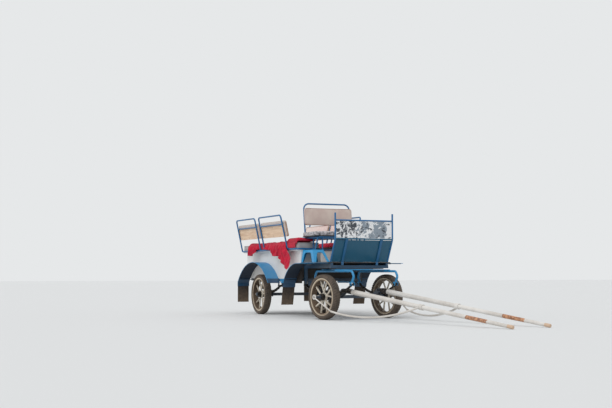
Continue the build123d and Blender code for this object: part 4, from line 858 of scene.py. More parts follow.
def tyre(name, centre, axis, settings):
    """One tyre: its section, a softened polyline of radius and half width, is turned about the axle.

    The tread sinks along the section's normal by depth * groove. The groove is a ring either side of the
    middle rib, small nicks across that rib, and slanting cuts between lugs, where the fraction of
    (angle * lugs + slant * |s|) is within the groove's share, all unevenly worn.
    """
    half = softened(TYRE_SECTION, 2)
    section = spaced(np.concatenate([half[::-1] * (1, -1), half[1:]]), TYRE_ROWS)
    step = np.gradient(section, axis=0)
    normal = np.stack([step[:, 1], -step[:, 0]], axis=1) / np.linalg.norm(step, axis=1, keepdims=True)
    s = np.concatenate([[0], np.cumsum(np.linalg.norm(np.diff(section, axis=0), axis=1))])
    s = (s - s[-1] / 2)[None, :]
    columns = settings.lugs * LUG_COLUMNS
    angle = (np.arange(columns) / columns * 2 * pi)[:, None]
    pitch = angle / (2 * pi) * settings.lugs
    across = np.abs(s)
    slant = np.mod(pitch + 0.5 * (s > 0) + 14.0 * across, 1.0)
    cut = np.clip((settings.groove / 2 - np.abs(slant - 0.5)) / 0.06 + 0.5, 0, 1)
    cut = cut * ramp(across - LUG_SPAN[0], 0.003) * ramp(LUG_SPAN[1] - across, 0.006)
    rib = ramp(RIB_GROOVE[1] - np.abs(across - RIB_GROOVE[0]), 0.002)
    nick = ramp(0.10 - np.abs(np.mod(pitch + 0.25, 1.0) - 0.5), 0.04) * ramp(0.012 - across, 0.003)
    worn = 0.85 + 0.15 * ripple(np.cos(angle) + 0 * s, np.sin(angle) + s, 5, 0.7)
    groove = np.maximum(np.maximum(cut, rib), 0.7 * nick) * worn
    radius = section[:, 0] + groove * settings.depth * -normal[:, 0]
    offset = section[:, 1] + groove * settings.depth * -normal[:, 1]
    right = np.cross(axis, UP)
    right /= np.linalg.norm(right)
    ring = np.cos(angle)[..., None] * right + np.sin(angle)[..., None] * UP
    points = centre + radius[..., None] * ring + offset[..., None] * axis
    obj = build(name, [(points.reshape(-1, 3), grid_quads(columns, TYRE_ROWS, True, True))], [TYRE])
    wall = ramp(across - 0.050, 0.02) * 0.12
    store(obj, "groove", (groove * 0.3 + wall + 0.0 * angle).reshape(-1))
    return obj


class WAGONETTE_OT_tyres(bpy.types.Operator):
    """Build the four muddy tyres with their lugged tread"""
    bl_idname = "wagonette.tyres"
    bl_label = "Build the Tyres"

    def execute(self, context):
        for end in ("rear", "front"):
            for side in SIDES:
                spin = JOINTS[f"{end}_wheel_{side}_spin"]
                obj = tyre(f"treaded_tyre_{end}_{side}", np.array(spin["pos_m"]), np.array(spin["axis"]),
                           context.scene.wagonette.wheels)
                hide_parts(f"tyre_{end}_{side}")
                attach(obj, f"{end}_wheel_{side}")
        return {"FINISHED"}


# Padded pieces

BORDER_CELL = 0.016  # mesh step up a cushion's border
SIDE_PULL = 0.004  # how far a cushion's sides draw in between its corners
BORDER_SWELL = 0.003  # how far its border bulges
BACK_CORNER, SEAT_CORNER, FLEECE_CORNER = 0.030, 0.045, 0.040  # corner radii in plan
BACK_RISE, SEAT_RISE, FLEECE_RISE = 0.6, 0.5, 0.7  # shares of the crown setting that caps the filling
BACK_OVERHANG = 0.0325  # how far a bench back passes its hoop at each end
BACK_SHIFT = 0.0125  # and how far forward of it its middle sits
BOARD_OVERHANG = 0.005  # how far its board passes the hoop
ARRIS = 0.0015  # width of the board's eased edges
BACK_SEAM = 0.009  # depth of a bench back's piping behind its face
SEAT_SEAMS = (0.005, 0.006)  # distances of a bench cushion's pipings from its underside and its top
DRIVER_SEAM = 0.007
SEAT_CROWN, FLEECE_CROWN = 0.006, 0.010  # how far these covers' tops rise from their seams before the filling


def fill(objects, settings):
    """Fill the closed covers by Cloth pressure with their seams pinned, capped at crown, and fix the result.

    objects is a list of (object, pinned vertex numbers, cap in metres).
    """
    scene = bpy.context.scene
    before = []
    for obj, pins, cap in objects:
        group = obj.vertex_groups.new(name="seams")
        group.add(pins.tolist(), 1.0, "REPLACE")
        cloth = obj.modifiers.new("fill", "CLOTH")
        cloth.settings.use_pressure = True
        cloth.settings.uniform_pressure_force = settings.pressure
        cloth.settings.vertex_group_mass = "seams"
        cloth.settings.effector_weights.gravity = 0.0
        cloth.settings.quality = 5
        cloth.collision_settings.use_collision = False
        cloth.point_cache.frame_start = 1
        cloth.point_cache.frame_end = settings.frames
        before.append(vertices(obj.data))
    for number in range(1, settings.frames + 1):
        scene.frame_set(number)
    graph = bpy.context.evaluated_depsgraph_get()
    after = [vertices(obj.evaluated_get(graph).data) for obj, pins, cap in objects]
    for (obj, pins, cap), start, end in zip(objects, before, after):
        if not np.isfinite(end).all() or len(end) != len(start):
            raise RuntimeError(f"{obj.name}: the filling failed")
        move = end - start
        far = np.linalg.norm(move, axis=1, keepdims=True)
        move *= np.minimum(1.0, cap / np.maximum(far, 1e-9))
        obj.modifiers.clear()
        obj.vertex_groups.clear()
        obj.data.vertices.foreach_set("co", (start + move).ravel())
        obj.data.update()
    scene.frame_set(1)


def vertices(mesh):
    """A mesh's vertex places."""
    places = np.empty(len(mesh.vertices) * 3)
    mesh.vertices.foreach_get("co", places)
    return places.reshape(-1, 3)


def drawn_in(unit):
    """How far a cushion's outline is drawn in: pull (1 - v^4) |u|^3, with u its own unit coordinate and v
    the other."""
    return SIDE_PULL * (1 - unit[:, ::-1] ** 4) * np.abs(unit) ** 3


def pillow(name, half, faces, corner, place, recipe, settings, crown, low_flat=False):
    """A boxed cushion cover before it is filled, and the vertices along its seams.

    A rounded rectangle's sides are drawn in between the corners. Each face rises from its seam by
    crown (1 - u^6)(1 - v^4), with u and v its unit coordinates, and the border bulges a little.
    """
    half, (low, high) = np.asarray(half, float), faces
    counts = tuple(max(3, round(2 * size / settings.cell)) for size in half)
    counts += (max(3, round((high - low) / BORDER_CELL)),)
    lattice, quads = box_lattice(counts)
    unit = lattice / np.array(counts) * 2 - 1
    flat = rounded(unit[:, :2], half, corner)
    flat -= np.sign(flat) * drawn_in(unit[:, :2])
    rise = crown * (1 - unit[:, 0] ** 6) * (1 - unit[:, 1] ** 4)
    on_top, below = lattice[:, 2] == counts[2], lattice[:, 2] == 0
    seam_low = low if low_flat else low + crown
    height = seam_low + (unit[:, 2] + 1) / 2 * (high - crown - seam_low)
    height = height + np.where(on_top, rise, 0) - np.where(below & (not low_flat), rise, 0)
    edge = np.abs(unit[:, :2]).max(axis=1) == 1
    swell = BORDER_SWELL * (1 - unit[:, 2] ** 2) * edge
    flat += swell[:, None] * np.sign(flat) * (np.abs(unit[:, :2]) == 1)
    obj = build(name, [(place(flat[:, 0], flat[:, 1], height), quads)], [recipe])
    if np.linalg.det(np.stack([place(*v) - place(0, 0, 0) for v in np.eye(3)])) < 0:
        obj.data.flip_normals()
    seams = (on_top | below) & edge
    if low_flat:
        seams |= below
    return obj, np.nonzero(seams)[0]


def welt(half, corner, level, place, up, settings):
    """Piping along a seam: a round cord carried along the cushion's outline, drawn in as its sides are."""
    ring = perimeter(half, corner, settings.cell)
    unit = np.clip(ring / np.asarray(half), -1, 1)
    ring = ring - np.sign(ring) * drawn_in(unit)
    path = place(ring[:, 0], ring[:, 1], np.full(len(ring), level))
    return tube(path, settings.welt, up)


def join(obj, parts, recipes, slots):
    """Add closed shells to a filled cover; slots gives a finish to each of its faces and to each shell."""
    quads = np.empty(len(obj.data.polygons) * 4, np.int32)
    obj.data.polygons.foreach_get("vertices", quads)
    obj.data = shell(obj.name, [(vertices(obj.data), quads.reshape(-1, 4))] + parts, recipes, slots)


def rounded_off(obj):
    """One Catmull-Clark step over a finished cover."""
    smooth = obj.modifiers.new("rounding", "SUBSURF")
    smooth.levels = smooth.render_levels = 1


def borders(obj, way):
    """1 for the faces of a cover that stand across its thickness, 0 for the others."""
    _, normal = facets(obj)
    way = np.array(way) / np.linalg.norm(way)
    return (np.abs(normal @ way) < 0.5).astype(int)


def stands_for(obj, node):
    """What every padded piece of the carriage does: hide the node it replaces and ride on the carriage's body."""
    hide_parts(node)
    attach(obj, "carriage")


class WAGONETTE_OT_back_pads(bpy.types.Operator):
    """Build the four bench backs: a plywood board and the padded cushion inside it"""
    bl_idname = "wagonette.back_pads"
    bl_label = "Build the Bench Backs"

    def execute(self, context):
        soft = context.scene.wagonette.soft
        queue = []
        for side, sign in SIDES.items():
            for end, (rear, front) in HOOP_SPAN.items():
                middle, centre = (rear + front) / 2 + BACK_SHIFT, sum(PAD_SPAN) / 2
                half = ((front - rear + 2 * BACK_OVERHANG) / 2, (PAD_SPAN[1] - PAD_SPAN[0]) / 2)

                def place(a, b, c):
                    return on_hoops(sign, middle + a, centre + b, c)

                # one fabric: a darker copy on the right as painted shade, a paler one on the left as painted light
                cloth = SHADED_PAD_CLOTH if side == "right" else LIT_PAD_CLOTH
                pad, seams = pillow(f"bench_back_pad_{end}_{side}", half, PAD_FACES[::-1], BACK_CORNER, place,
                                    cloth, soft, -BACK_SEAM, low_flat=True)
                stands_for(pad, f"back_pad_{end}_{side}")
                way = place(0, 0, -1.0) - place(0, 0, 0)
                seam = welt(half, BACK_CORNER, PAD_FACES[0] + BACK_SEAM, place, way, soft)
                queue.append((pad, seams, soft.crown * BACK_RISE, cloth, way, seam))
                self.board(f"bench_back_board_{end}_{side}", sign, rear, front)
        fill([entry[:3] for entry in queue], soft)
        for pad, _, _, cloth, way, seam in queue:
            join(pad, [seam], [cloth, LIT_TOP_PAD_BORDER], [borders(pad, way), 1])
            rounded_off(pad)
        return {"FINISHED"}

    def board(self, name, sign, rear, front):
        """The plywood board outside a bench back: a flat box with its arrises eased."""
        half = ((front - rear) / 2 + BOARD_OVERHANG, (BOARD_SPAN[1] - BOARD_SPAN[0]) / 2)
        lattice, quads = box_lattice((1, 1, 1))
        flat = (lattice[:, :2] * 2 - 1) * half
        depth = np.where(lattice[:, 2] == 1, BOARD_FACES[1], BOARD_FACES[0])
        points = on_hoops(sign, (rear + front) / 2 + flat[:, 0], sum(BOARD_SPAN) / 2 + flat[:, 1], depth)
        board = build(name, [(points, quads)], [PLY], smooth=False, weld=1e-6)
        trim = board.modifiers.new("arris", "BEVEL")
        trim.width, trim.segments = ARRIS, 2
        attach(board, "carriage")


class WAGONETTE_OT_bench_cushions(bpy.types.Operator):
    """Build the two long vinyl bench cushions"""
    bl_idname = "wagonette.bench_cushions"
    bl_label = "Build the Bench Cushions"

    def execute(self, context):
        soft = context.scene.wagonette.soft
        half = ((CUSHION_X[1] - CUSHION_X[0]) / 2, (CUSHION_Y[1] - CUSHION_Y[0]) / 2)
        levels = (CUSHION_Z[0] + SEAT_SEAMS[0], CUSHION_Z[1] - SEAT_SEAMS[1])
        queue, pipings = [], []
        for side, sign in SIDES.items():
            def place(a, b, c):
                return at(sum(CUSHION_X) / 2 + a, sign * (sum(CUSHION_Y) / 2 + b), c)

            pad, seams = pillow(f"long_bench_cushion_{side}", half, CUSHION_Z, SEAT_CORNER, place, GREY_VINYL,
                                soft, SEAT_CROWN, low_flat=True)
            stands_for(pad, f"bench_cushion_{side}")
            queue.append((pad, seams, soft.crown * SEAT_RISE))
            pipings.append([welt(half, SEAT_CORNER, level, place, UP, soft) for level in levels])
        fill(queue, soft)
        for (pad, _, _), piping in zip(queue, pipings):
            join(pad, piping, [GREY_VINYL], [0, 0, 0])
            rounded_off(pad)
        return {"FINISHED"}


class WAGONETTE_OT_driver_seat(bpy.types.Operator):
    """Build the driver's fleece-covered seat pad and the vinyl cushion on the hoop behind it"""
    bl_idname = "wagonette.driver_seat"
    bl_label = "Build the Driver's Seat"

    def execute(self, context):
        soft = context.scene.wagonette.soft
        rear, front, side, low, high = DRIVER_PAD
        width, foot, head, near, far = DRIVER_BACK

        def on_seat(a, b, c):
            return at((rear + front) / 2 + a, b, c)

        def on_back(a, b, c):
            return on_driver_back(a, (foot + head) / 2 + b, c)

        half = ((front - rear) / 2, side)
        pad, pad_seams = pillow("driver_fleece_pad", half, (low, high), FLEECE_CORNER, on_seat, FLEECE, soft,
                                FLEECE_CROWN, low_flat=True)
        stands_for(pad, "driver_seat_pad")
        half = (width, (head - foot) / 2)
        back, back_seams = pillow("driver_vinyl_back", half, (near, far), BACK_CORNER, on_back, TAUPE_VINYL,
                                  soft, DRIVER_SEAM)
        stands_for(back, "driver_back_cushion")
        fill([(pad, pad_seams, soft.crown * FLEECE_RISE), (back, back_seams, soft.crown * BACK_RISE)], soft)
        way = on_back(0, 0, 1.0) - on_back(0, 0, 0)
        seams = [welt(half, BACK_CORNER, level, on_back, way, soft)
                 for level in (near + DRIVER_SEAM, far - DRIVER_SEAM)]
        join(back, seams, [TAUPE_VINYL, UNDERSIDE_SHADE_VINYL], [borders(back, way), 1, 1])
        for obj in (pad, back):
            rounded_off(obj)
        return {"FINISHED"}


# Loose cloths

# Between the hoops' legs the near cloth stays inside the rail, against the cushion's side. Elsewhere it hangs
# outside.
LEGS_Y, HANG_Y = 0.5463, 0.585
CLOTH_Z = 1.0868  # height of a cloth on its cushion
SEAT_BEND = 0.034  # height of a cloth's bend over a seat's edge
SEAT_DROP = 0.02  # it lies on the seat until it has dropped this far
FOLD_PITCH = 0.085  # spacing of the hanging folds
FOLD_LEAN = 0.45  # how far they lean along the seat for each metre down
FOLD_START = 0.08  # they reach their full depth this far below the seat
FAN_FOLDS = 7.0  # folds in half a turn about the gather
FAN_REACH = 0.40  # how far along the seat those reach
# Each cloth's hem, column by column: place along the seat's edge, place of the hem, its height, and how far
# out it hangs
NEAR_HEM = (
    (-2.630, -2.622, 1.066, HANG_Y), (-2.622, -2.620, 0.945, HANG_Y), (-2.600, -2.600, 0.918, HANG_Y),
    (-2.510, -2.515, 0.914, HANG_Y), (-2.410, -2.390, 0.910, HANG_Y), (-2.360, -2.330, 0.948, HANG_Y),
    (-2.310, -2.285, 0.985, HANG_Y), (-2.260, -2.250, 1.004, HANG_Y), (-2.205, -2.205, 1.010, LEGS_Y),
    (-2.080, -2.080, 1.006, LEGS_Y), (-1.955, -1.955, 1.010, LEGS_Y), (-1.890, -1.885, 1.003, HANG_Y),
    (-1.760, -1.755, 0.992, HANG_Y), (-1.660, -1.640, 0.982, HANG_Y), (-1.630, -1.595, 0.910, HANG_Y),
    (-1.570, -1.545, 0.894, HANG_Y), (-1.390, -1.355, 0.888, HANG_Y), (-1.335, -1.270, 0.832, HANG_Y),
    (-1.290, -1.185, 0.772, HANG_Y), (-1.250, -1.090, 0.715, HANG_Y), (-1.215, -1.010, 0.684, HANG_Y),
    (-1.190, -0.960, 0.694, HANG_Y), (-1.174, -0.932, 0.775, HANG_Y), (-1.160, -0.920, 0.885, HANG_Y))
FAR_HEM = ((-2.600, -2.600, 1.020, 0.150), (-2.200, -2.210, 1.030, 0.150), (-1.600, -1.590, 1.020, 0.150),
           (-0.935, -0.935, 1.030, 0.150))
# How far from the middle a cloth's other end lies, and where its seat ends
NEAR_INNER, NEAR_EDGE = 0.205, 0.540
FAR_INNER, FAR_EDGE = 0.515, 0.166
GATHER = (-1.18, 1.8, 0.12)  # place along the seat, height and width of the near cloth's gather
# The folded cloth's section, from its lowest layer up: place along the seat and height
HEAP = (
    (-0.812, 1.0880), (-1.115, 1.0880), (-1.150, 1.1010), (-0.838, 1.1010), (-0.832, 1.1140),
    (-1.170, 1.1140), (-1.185, 1.1270), (-0.830, 1.1270), (-0.838, 1.1390), (-1.175, 1.1390),
    (-1.190, 1.1500), (-0.846, 1.1500), (-0.816, 1.1440), (-0.806, 1.1080))
HEAP_Y = (0.245, 0.528)
# How much further each outer layer runs, where its bend begins, how far out it hangs and the bend's height
HEAP_LOWEST, HEAP_HIGHEST = (0.100, 0.545, 0.566, 0.020), (0.058, 0.522, 0.553, 0.030)
FLAT_SIZES = {
    "red_cloth_right": (0.84, 1.60), "red_cloth_left": (0.45, 1.68), "red_cloth_folded": (0.39, 2.10),
}


def over_edge(s, edge, hang, bend=SEAT_BEND):
    """A cloth's way over a seat edge at arc length s: level up to the edge, then for t from 0 to 1 out by
    (hang - edge) sin(t pi / 2) and down by bend (1 - cos(t pi / 2)), then straight down."""
    over = s - edge
    t = ramp(over, bend) * pi / 2
    out = np.where(over < 0, s, edge + (hang - edge) * np.sin(t))
    return out, bend * (1 - np.cos(t)) + np.clip(over - bend, 0, None)


def hanging_cloth(name, hem, sign, inner, edge, recipe, settings, seed, rumple, gather=(0.0, 0.0, 1.0)):
    """A cloth laid over a seat with its edge hanging down.

    Column i starts at the inner end, runs level to the seat's edge, bends over it and falls to its hem. Below
    the edge it moves towards its hem along x, and out by 2 * fold * |sin(phase)|, which grows with the drop:
    round folds with sharp creases between them, whose phase runs along x and, near the place where the cloth
    is gathered, with the angle about it. On the seat it rises by rumple * (soft waves)^2, so that it never
    sinks into the cushion, and more so by 1 + height * exp(-((x - place) / width)^2) where it is gathered
    (place, height, width).
    """
    hem = np.asarray(hem, float)
    span = hem[:, 0]
    place, height, width = gather
    columns = int(abs(span[-1] - span[0]) / settings.cell) + 1
    top = np.linspace(span[0], span[-1], columns)
    foot_x, foot_z, hang = (np.interp(top, span, hem[:, k]) for k in (1, 2, 3))
    drop = np.pad(np.clip(CLOTH_Z - foot_z, 0, None), 1, mode="edge")
    drop = np.convolve(drop, np.ones(3) / 3, mode="valid")
    ways = np.sign(hang - inner)
    reach = np.abs(edge - inner)
    rows = int((reach + drop.max()) / settings.cell)
    part = np.linspace(0, 1, rows)[:, None]
    out, down = over_edge(part * (reach + drop), reach, np.abs(hang - inner))
    share = ramp(down, np.maximum(drop, SEAT_DROP))
    x = top + (foot_x - top) * share
    lean = x + FOLD_LEAN * down
    wave = np.abs(np.sin(lean / FOLD_PITCH * pi + 2.2 * ripple(lean, 0.4 * down, seed, 0.4)))
    turn = np.arctan2(down + SEAT_DROP, x - place + 0.03)
    fan = np.abs(np.sin(FAN_FOLDS * turn + 0.9 * ripple(x, down, seed + 5, 0.25)))
    near = np.exp(-((x - place) / FAN_REACH) ** 2) * (height > 0)
    wave = wave + (fan - wave) * near + 0.2 * ripple(x, down * 0.6, seed + 1, 0.07)
    ends = np.minimum(np.arange(columns), np.arange(columns)[::-1])
    free = ramp(np.abs(hang) - LEGS_Y, 0.030) if edge > 0.3 else np.ones(columns)
    free = free * np.clip(0.3 + ends / 5, 0, 1)
    out = out + 2.0 * settings.fold * wave * ramp(down, FOLD_START) * free
    y = inner + ways * out
    on_seat = np.clip(1 - down / SEAT_DROP, 0, 1)
    lift = (0.5 + 0.5 * ripple(x + 0.8 * y, 0.35 * y, seed + 2, 0.16)) ** 2
    lift = lift + 0.35 * (0.5 + 0.5 * ripple(x, y, seed + 3, 0.07))
    border = ramp(part, 0.03) * ramp(ends, 3)
    heaped = 1 + height * np.exp(-((x - place) / width) ** 2)
    x = x + 0.06 * ramp(top - place + 0.1, 0.14) * on_seat * (height > 0)
    z = CLOTH_Z - down + rumple * lift * heaped * on_seat * (0.25 + 0.75 * border)
    shift = 0.010 * ripple(y * 2, 0 * y + seed, seed + 4, 0.3) * on_seat
    cloth = build(name, [(at(x + shift, sign * y, z).reshape(-1, 3), grid_quads(rows, columns))], [recipe])
    return thicken(cloth, settings)


def thicken(cloth, settings):
    """A sheet's thickness, evenly to both sides, and one smoothing step."""
    body = cloth.modifiers.new("thickness", "SOLIDIFY")
    body.thickness, body.offset = settings.thick, 0.0
    rounded_off(cloth)
    return cloth


def mesh_area(obj):
    """The area of a mesh before its modifiers."""
    areas = np.empty(len(obj.data.polygons))
    obj.data.polygons.foreach_get("area", areas)
    return float(areas.sum())


def folded_cloth(name, layers, inner, outer, lowest, highest, recipe, settings, seed):
    """A cloth folded to and fro in a heap.

    Its zigzag section of x and z, with the corners softened, is carried from the inner end of each row to the
    outer one. There the lowest and the highest layer run on and bend down over the seat's edge. The heap
    swells by 1 + 0.22 * ripple of x and y, and each layer wanders a little in x along the way.
    """
    count = int(np.linalg.norm(np.diff(layers, axis=0), axis=1).sum() / settings.cell)
    section = spaced(softened(layers, 3), count)
    order = np.linspace(0, 1, count)[None, :]
    share = 2.0 / len(layers)
    first = ramp(1.15 * share - order, 0.04)
    last = ramp(order - 1 + 1.3 * share, 0.04)
    first, last = (amount * amount * (3 - 2 * amount) for amount in (first, last))
    further, edge, hang, bend = (np.where(order < 0.5, low, high) for low, high in zip(lowest, highest))
    part = np.linspace(0, 1, int((outer + lowest[0] - inner) / settings.cell))[:, None]
    s = part * (outer - inner + further * (first + last))
    out, down = over_edge(s, edge - inner, hang - inner, bend)
    y = inner + out
    x = section[None, :, 0] + 0.012 * ripple(y + 0 * order, order * 0.8, seed, 0.30)
    swell = 1 + 0.22 * ripple(x, y, seed + 1, 0.20)
    ends = ramp(np.minimum(part, 1 - part), 0.12)
    z = CLOTH_Z + (section[None, :, 1] - CLOTH_Z) * swell * (0.75 + 0.25 * ends) - down
    cloth = build(name, [(at(x, -y, z).reshape(-1, 3), grid_quads(len(part), count))], [recipe])
    return thicken(cloth, settings)


class WAGONETTE_OT_cloths(bpy.types.Operator):
    """Build the red cloths that lie over the benches and the folded one at the front of the near bench"""
    bl_idname = "wagonette.cloths"
    bl_label = "Lay the Red Cloths"

    def execute(self, context):
        cloths = context.scene.wagonette.cloths
        near = hanging_cloth("red_cloth_right", NEAR_HEM, -1, NEAR_INNER, NEAR_EDGE, RED_CLOTH, cloths,
                             seed=11, rumple=0.024, gather=GATHER)
        far = hanging_cloth("red_cloth_left", FAR_HEM, 1, FAR_INNER, FAR_EDGE, RED_CLOTH, cloths,
                            seed=23, rumple=0.010)
        heap = folded_cloth("red_cloth_folded", HEAP, *HEAP_Y, HEAP_LOWEST, HEAP_HIGHEST, RED_CLOTH, cloths,
                            seed=31)
        for obj, node, rests, held in ((near, "bench_blanket_right", "long_bench_cushion_right", "draped"),
                                       (far, "bench_blanket_left", "long_bench_cushion_left", "draped"),
                                       (heap, "blanket_roll", "long_bench_cushion_right", "folded")):
            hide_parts(node)
            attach(obj, "carriage")
            size = FLAT_SIZES[obj.name]
            min(mesh_area(obj), size[0] * size[1])
        return {"FINISHED"}


# Fittings

# Each head's radius and height
CUP_HEAD, SCREW_HEAD, RIVET_HEAD = (0.008, 0.0035), (0.0055, 0.002), (0.005, 0.002)
FLAP_BOLT, HUB_BOLT = (0.009, 0.005), (0.0055, 0.004)
SPRING_BOLT, SHAFT_BOLT = (0.0125, 0.009), (0.015, 0.009)
SUNK = 0.0003  # how deep the foot of a cup or screw head sits in its panel
# Ends of the mudguards' arcs in degrees, and the points along each
REAR_ARC, FRONT_ARC = (143.0, 37.0, 60), (151.3, 90.0, 40)
EDGE_RADIUS = 0.0034  # of the bead along them
EDGE_INSETS = (0.002, 0.001)  # how far the bead lies inside a guard's outer surface and its outer side
BOARD_BOLTS = (0.06, (0.212, 0.340))  # distance from the hoops' legs, and heights up them
# Places along the body and heights of the two rows of screws in a side panel
UPPER_SCREWS, LOWER_SCREWS = np.arange(-2.84, -0.95, 0.236), (-2.86, -1.50, -1.25, -1.03)
SCREW_ROWS = (0.945, 0.512)
FLAP_BOLTS_Y = np.array([0.520, 0.590, 0.660])
REAR_FLAP = (-2.8457, 0.462)  # x and z of its bolts
FRONT_FLAP = (-0.9830, 0.490)  # x and z of its top
FRONT_FLAP_LEAN = radians(12.5)
FRONT_FLAP_DROP = 0.028  # from its top down to its bolts
FRONT_FLAP_FACE = 0.0057  # from its middle to the face that they sit on
FLANGE_BOLTS = (10, 0.054, 0.0117)  # count, radius and distance from the hub's middle
SPRING_EYE = 0.028  # width of a spring's eye
SPRING_PIN = 0.0307  # half length of a spring eye's pin
DASH_RIVETS = (0.2529, np.linspace(-0.418, 0.418, 8), (1.131, 1.335))  # x, places across and heights
SHAFT_PIN = (0.150, 0.310, 0.400, 0.0397)  # place of a shaft's bolt and its half length


def heads(places, ways, size, sides=6, dome=False):
    """Bolt heads: ring k of a head is place + h_k * way + r_k (cos a * u + sin a * v), u and v across way.

    A hexagon's profile (r, h) rises straight and is chamfered; a dome's follows a quarter ellipse.
    """
    if dome:
        turn = np.linspace(0, pi / 2, 4)
        rise = np.concatenate([[(0.0, 0.0)], np.stack([np.cos(turn), np.sin(turn)], axis=1)]) * size
    else:
        rise = np.array([(0, 0), (1, 0), (1, 0.8), (0.86, 1), (0, 1)]) * size
    places, ways = (np.asarray(rows, float).reshape(-1, 3) for rows in (places, ways))
    places, ways = np.broadcast_arrays(places, ways)
    ways = ways / np.linalg.norm(ways, axis=1, keepdims=True)
    u = np.cross(ways, (0.31, 0.53, 0.79))
    u /= np.linalg.norm(u, axis=1, keepdims=True)
    v = np.cross(ways, u)
    turn = np.arange(sides) / sides * 2 * pi
    ring = np.cos(turn)[:, None] * u[:, None, None] + np.sin(turn)[:, None] * v[:, None, None]
    radius, height = rise[:, 0, None, None], rise[:, 1, None, None]
    points = places[:, None, None] + height * ways[:, None, None] + radius * ring
    quads = grid_quads(len(rise), sides, False, True)
    faces = quads[None] + (np.arange(len(places)) * len(rise) * sides)[:, None, None]
    return points.reshape(-1, 3), faces.reshape(-1, 4)


def fastened(name, body, parts, recipe=PLATED, smooth=False):
    """A set of like fittings as one piece that rides on a body."""
    obj = build(name, parts, [recipe], weld=1e-6, smooth=smooth)
    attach(obj, body)


def spring_eyes(node, turn):
    """The middles of a leaf spring's two eyes, from its ends, measured as if its axle lay straight."""
    points = vertices(frame["nodes"][node].data) - np.array(KING)
    c, s = cos(turn), sin(turn)
    x = points[:, 0] * c + points[:, 1] * s
    y = points[:, 1] * c - points[:, 0] * s
    straight = np.stack([x, y, points[:, 2]], axis=1)
    eyes = [straight[end] for end in (x < x.min() + SPRING_EYE, x > x.max() - SPRING_EYE)]
    return np.array([eye.min(axis=0) + eye.max(axis=0) for eye in eyes]) / 2


def outer_edge(guard, first, last, count):
    """Points just inside a mudguard's outer surface: centre + (R - inset)(cos a, sin a) in x and z."""
    x, z, radius = guard
    turn = np.radians(np.linspace(first, last, count))
    inner = radius - EDGE_INSETS[0]
    return np.stack([x + inner * np.cos(turn), z + inner * np.sin(turn)], 1)


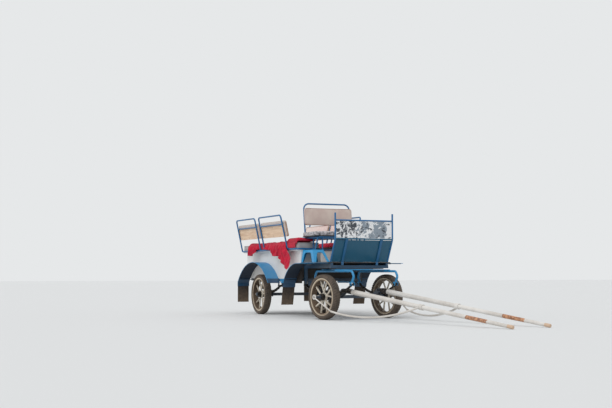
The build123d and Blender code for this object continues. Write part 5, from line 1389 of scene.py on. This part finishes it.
class WAGONETTE_OT_fittings(bpy.types.Operator):
    """Build the bolts, rivets and the rolled edges of the mudguards"""
    bl_idname = "wagonette.fittings"
    bl_label = "Fit the Bolts and Edges"

    def execute(self, context):
        self.edges()
        self.bench_bolts()
        self.flap_bolts()
        self.wheel_bolts()
        self.spring_bolts()
        self.dash_rivets()
        self.shaft_bolts()
        return {"FINISHED"}

    def edges(self):
        """A thin bead along the outer edge of each mudguard."""
        rear_arc = outer_edge(REAR_GUARD, *REAR_ARC)
        nose = (PLATFORM_NOSE, FRONT_GUARD[1] + FRONT_GUARD[2] - EDGE_INSETS[0])
        front_arc = np.concatenate([outer_edge(FRONT_GUARD, *FRONT_ARC), [nose]])
        for end, arc in (("rear", rear_arc), ("front", front_arc)):
            for side, sign in SIDES.items():
                path = at(arc[:, 0], sign * (GUARD_Y[1] - EDGE_INSETS[1]), arc[:, 1])
                bead = tube(path, EDGE_RADIUS, (0, 1, 0), closed=False)
                fastened(f"mudguard_edge_{end}_{side}", "carriage", [bead], BLUE, True)

    def bench_bolts(self):
        """Cup heads on the outside of the plywood backs, and screws along the side panels."""
        for side, sign in SIDES.items():
            out = on_hoops(sign, 0, 0, 1.0) - on_hoops(sign, 0, 0, 0)
            places = []
            inset, heights = BOARD_BOLTS
            for rear, front in HOOP_SPAN.values():
                along, rise = np.meshgrid((rear + inset, (rear + front) / 2, front - inset), heights)
                places.append(on_hoops(sign, along.ravel(), rise.ravel(), BOARD_FACES[1] - SUNK))
            cups = heads(np.concatenate(places), out, CUP_HEAD, 12, True)
            fastened(f"back_board_bolts_{side}", "carriage", [cups], smooth=True)
            along = np.concatenate([UPPER_SCREWS, LOWER_SCREWS])
            rise = np.repeat(SCREW_ROWS, (len(UPPER_SCREWS), len(LOWER_SCREWS)))
            screws = heads(at(along, sign * (BODY_Y - SUNK), rise), (0, sign, 0), SCREW_HEAD, 10, True)
            fastened(f"side_panel_screws_{side}", "carriage", [screws], WHITE, True)

    def flap_bolts(self):
        """Hexagon heads that clamp each flap to the end of its mudguard."""
        c, s = cos(FRONT_FLAP_LEAN), sin(FRONT_FLAP_LEAN)
        back = np.array([-c, 0, s])
        for side, sign in SIDES.items():
            across = sign * FLAP_BOLTS_Y
            rear = heads(at(REAR_FLAP[0], across, REAR_FLAP[1]), (-1, 0, 0), FLAP_BOLT)
            fastened(f"flap_bolts_rear_{side}", "carriage", [rear])
            place = at(FRONT_FLAP[0] - FRONT_FLAP_DROP * s, across, FRONT_FLAP[1] - FRONT_FLAP_DROP * c)
            front = heads(place + FRONT_FLAP_FACE * back, back, FLAP_BOLT)
            fastened(f"flap_bolts_front_{side}", "carriage", [front])

    def wheel_bolts(self):
        """Bolts round each hub flange, at equal angles about the axle."""
        count, radius, face = FLANGE_BOLTS
        turn = (np.arange(count) / count * 2 * pi)[:, None]
        for end in ("front", "rear"):
            for side, sign in SIDES.items():
                spin = JOINTS[f"{end}_wheel_{side}_spin"]
                hub, axis = np.array(spin["pos_m"]), np.array(spin["axis"])
                out = axis * (1 if axis[1] * sign > 0 else -1)
                ring = np.cos(turn) * np.cross(out, UP) + np.sin(turn) * UP
                bolts = heads(hub + out * face + radius * ring, out, HUB_BOLT)
                fastened(f"hub_bolts_{end}_{side}", f"{end}_wheel_{side}", [bolts])

    def spring_bolts(self):
        """A bolt head and a nut at each end of the spring eyes' pins."""
        rear, front = ("rear", 0.0, "carriage", at), ("front", STEER, "forecarriage", steered)
        for end, turn, body, place in (rear, front):
            cross = place(0, 1.0, 0) - place(0, 0, 0)
            for side in SIDES:
                x, y, z = spring_eyes(f"{end}_spring_{side}", turn).T
                parts = [heads(place(x, y + way * SPRING_PIN, z), way * cross, SPRING_BOLT)
                         for way in (-1, 1)]
                fastened(f"spring_pin_heads_{end}_{side}", body, parts, STEEL)

    def dash_rivets(self):
        """Rivets along the dash's upper panel."""
        x, across, heights = DASH_RIVETS
        across, rise = np.meshgrid(across, heights)
        rivets = heads(at(x, across.ravel(), rise.ravel()), (1, 0, 0), RIVET_HEAD, 10, True)
        fastened("dash_rivets", "carriage", [rivets], smooth=True)

    def shaft_bolts(self):
        """The heads of the bolts that the shafts swing on."""
        x, y, z, reach = SHAFT_PIN
        cross = steered(0, 1, 0) - steered(0, 0, 0)
        for side, sign in SIDES.items():
            parts = [heads(steered(x, sign * y + way * reach, z), way * cross, SHAFT_BOLT) for way in (-1, 1)]
            fastened(f"shaft_bolt_heads_{side}", "forecarriage", parts, STEEL)


class WAGONETTE_PT_panel(bpy.types.Panel):
    """Shows the wagonette's settings and the buttons of its steps in the sidebar"""
    bl_label = "Wagonette"
    bl_idname = "WAGONETTE_PT_panel"
    bl_space_type = "VIEW_3D"
    bl_region_type = "UI"
    bl_category = "Wagonette"

    def draw(self, context):
        settings = context.scene.wagonette
        for group in (settings.colours, settings.wheels, settings.soft, settings.cloths, settings.stage):
            box = self.layout.box()
            for name in group.bl_rna.properties.keys():
                if name not in ("rna_type", "name"):
                    box.prop(group, name)
        for step in STEPS:
            self.layout.operator(f"wagonette.{step}")


STEPS = ("paint", "tyres", "back_pads", "bench_cushions", "driver_seat", "cloths", "fittings", "stage")

CLASSES = (
    WAGONETTE_colour_settings, WAGONETTE_stage_settings, WAGONETTE_wheel_settings, WAGONETTE_soft_settings,
    WAGONETTE_cloth_settings, WAGONETTE_settings, WAGONETTE_OT_paint, WAGONETTE_OT_tyres,
    WAGONETTE_OT_back_pads, WAGONETTE_OT_bench_cushions, WAGONETTE_OT_driver_seat, WAGONETTE_OT_cloths,
    WAGONETTE_OT_fittings, WAGONETTE_OT_stage, WAGONETTE_PT_panel,
)


def register():
    """Make the add-on's classes and settings known."""
    for cls in CLASSES:
        bpy.utils.register_class(cls)
    bpy.types.Scene.wagonette = PointerProperty(type=WAGONETTE_settings)


def unregister():
    """Take them away again."""
    del bpy.types.Scene.wagonette
    for cls in reversed(CLASSES):
        bpy.utils.unregister_class(cls)


def main():
    """Register the add-on, and make every piece and the stage."""
    register()
    for step in STEPS:
        getattr(bpy.ops.wagonette, step)()


if __name__ == "__main__":
    main()
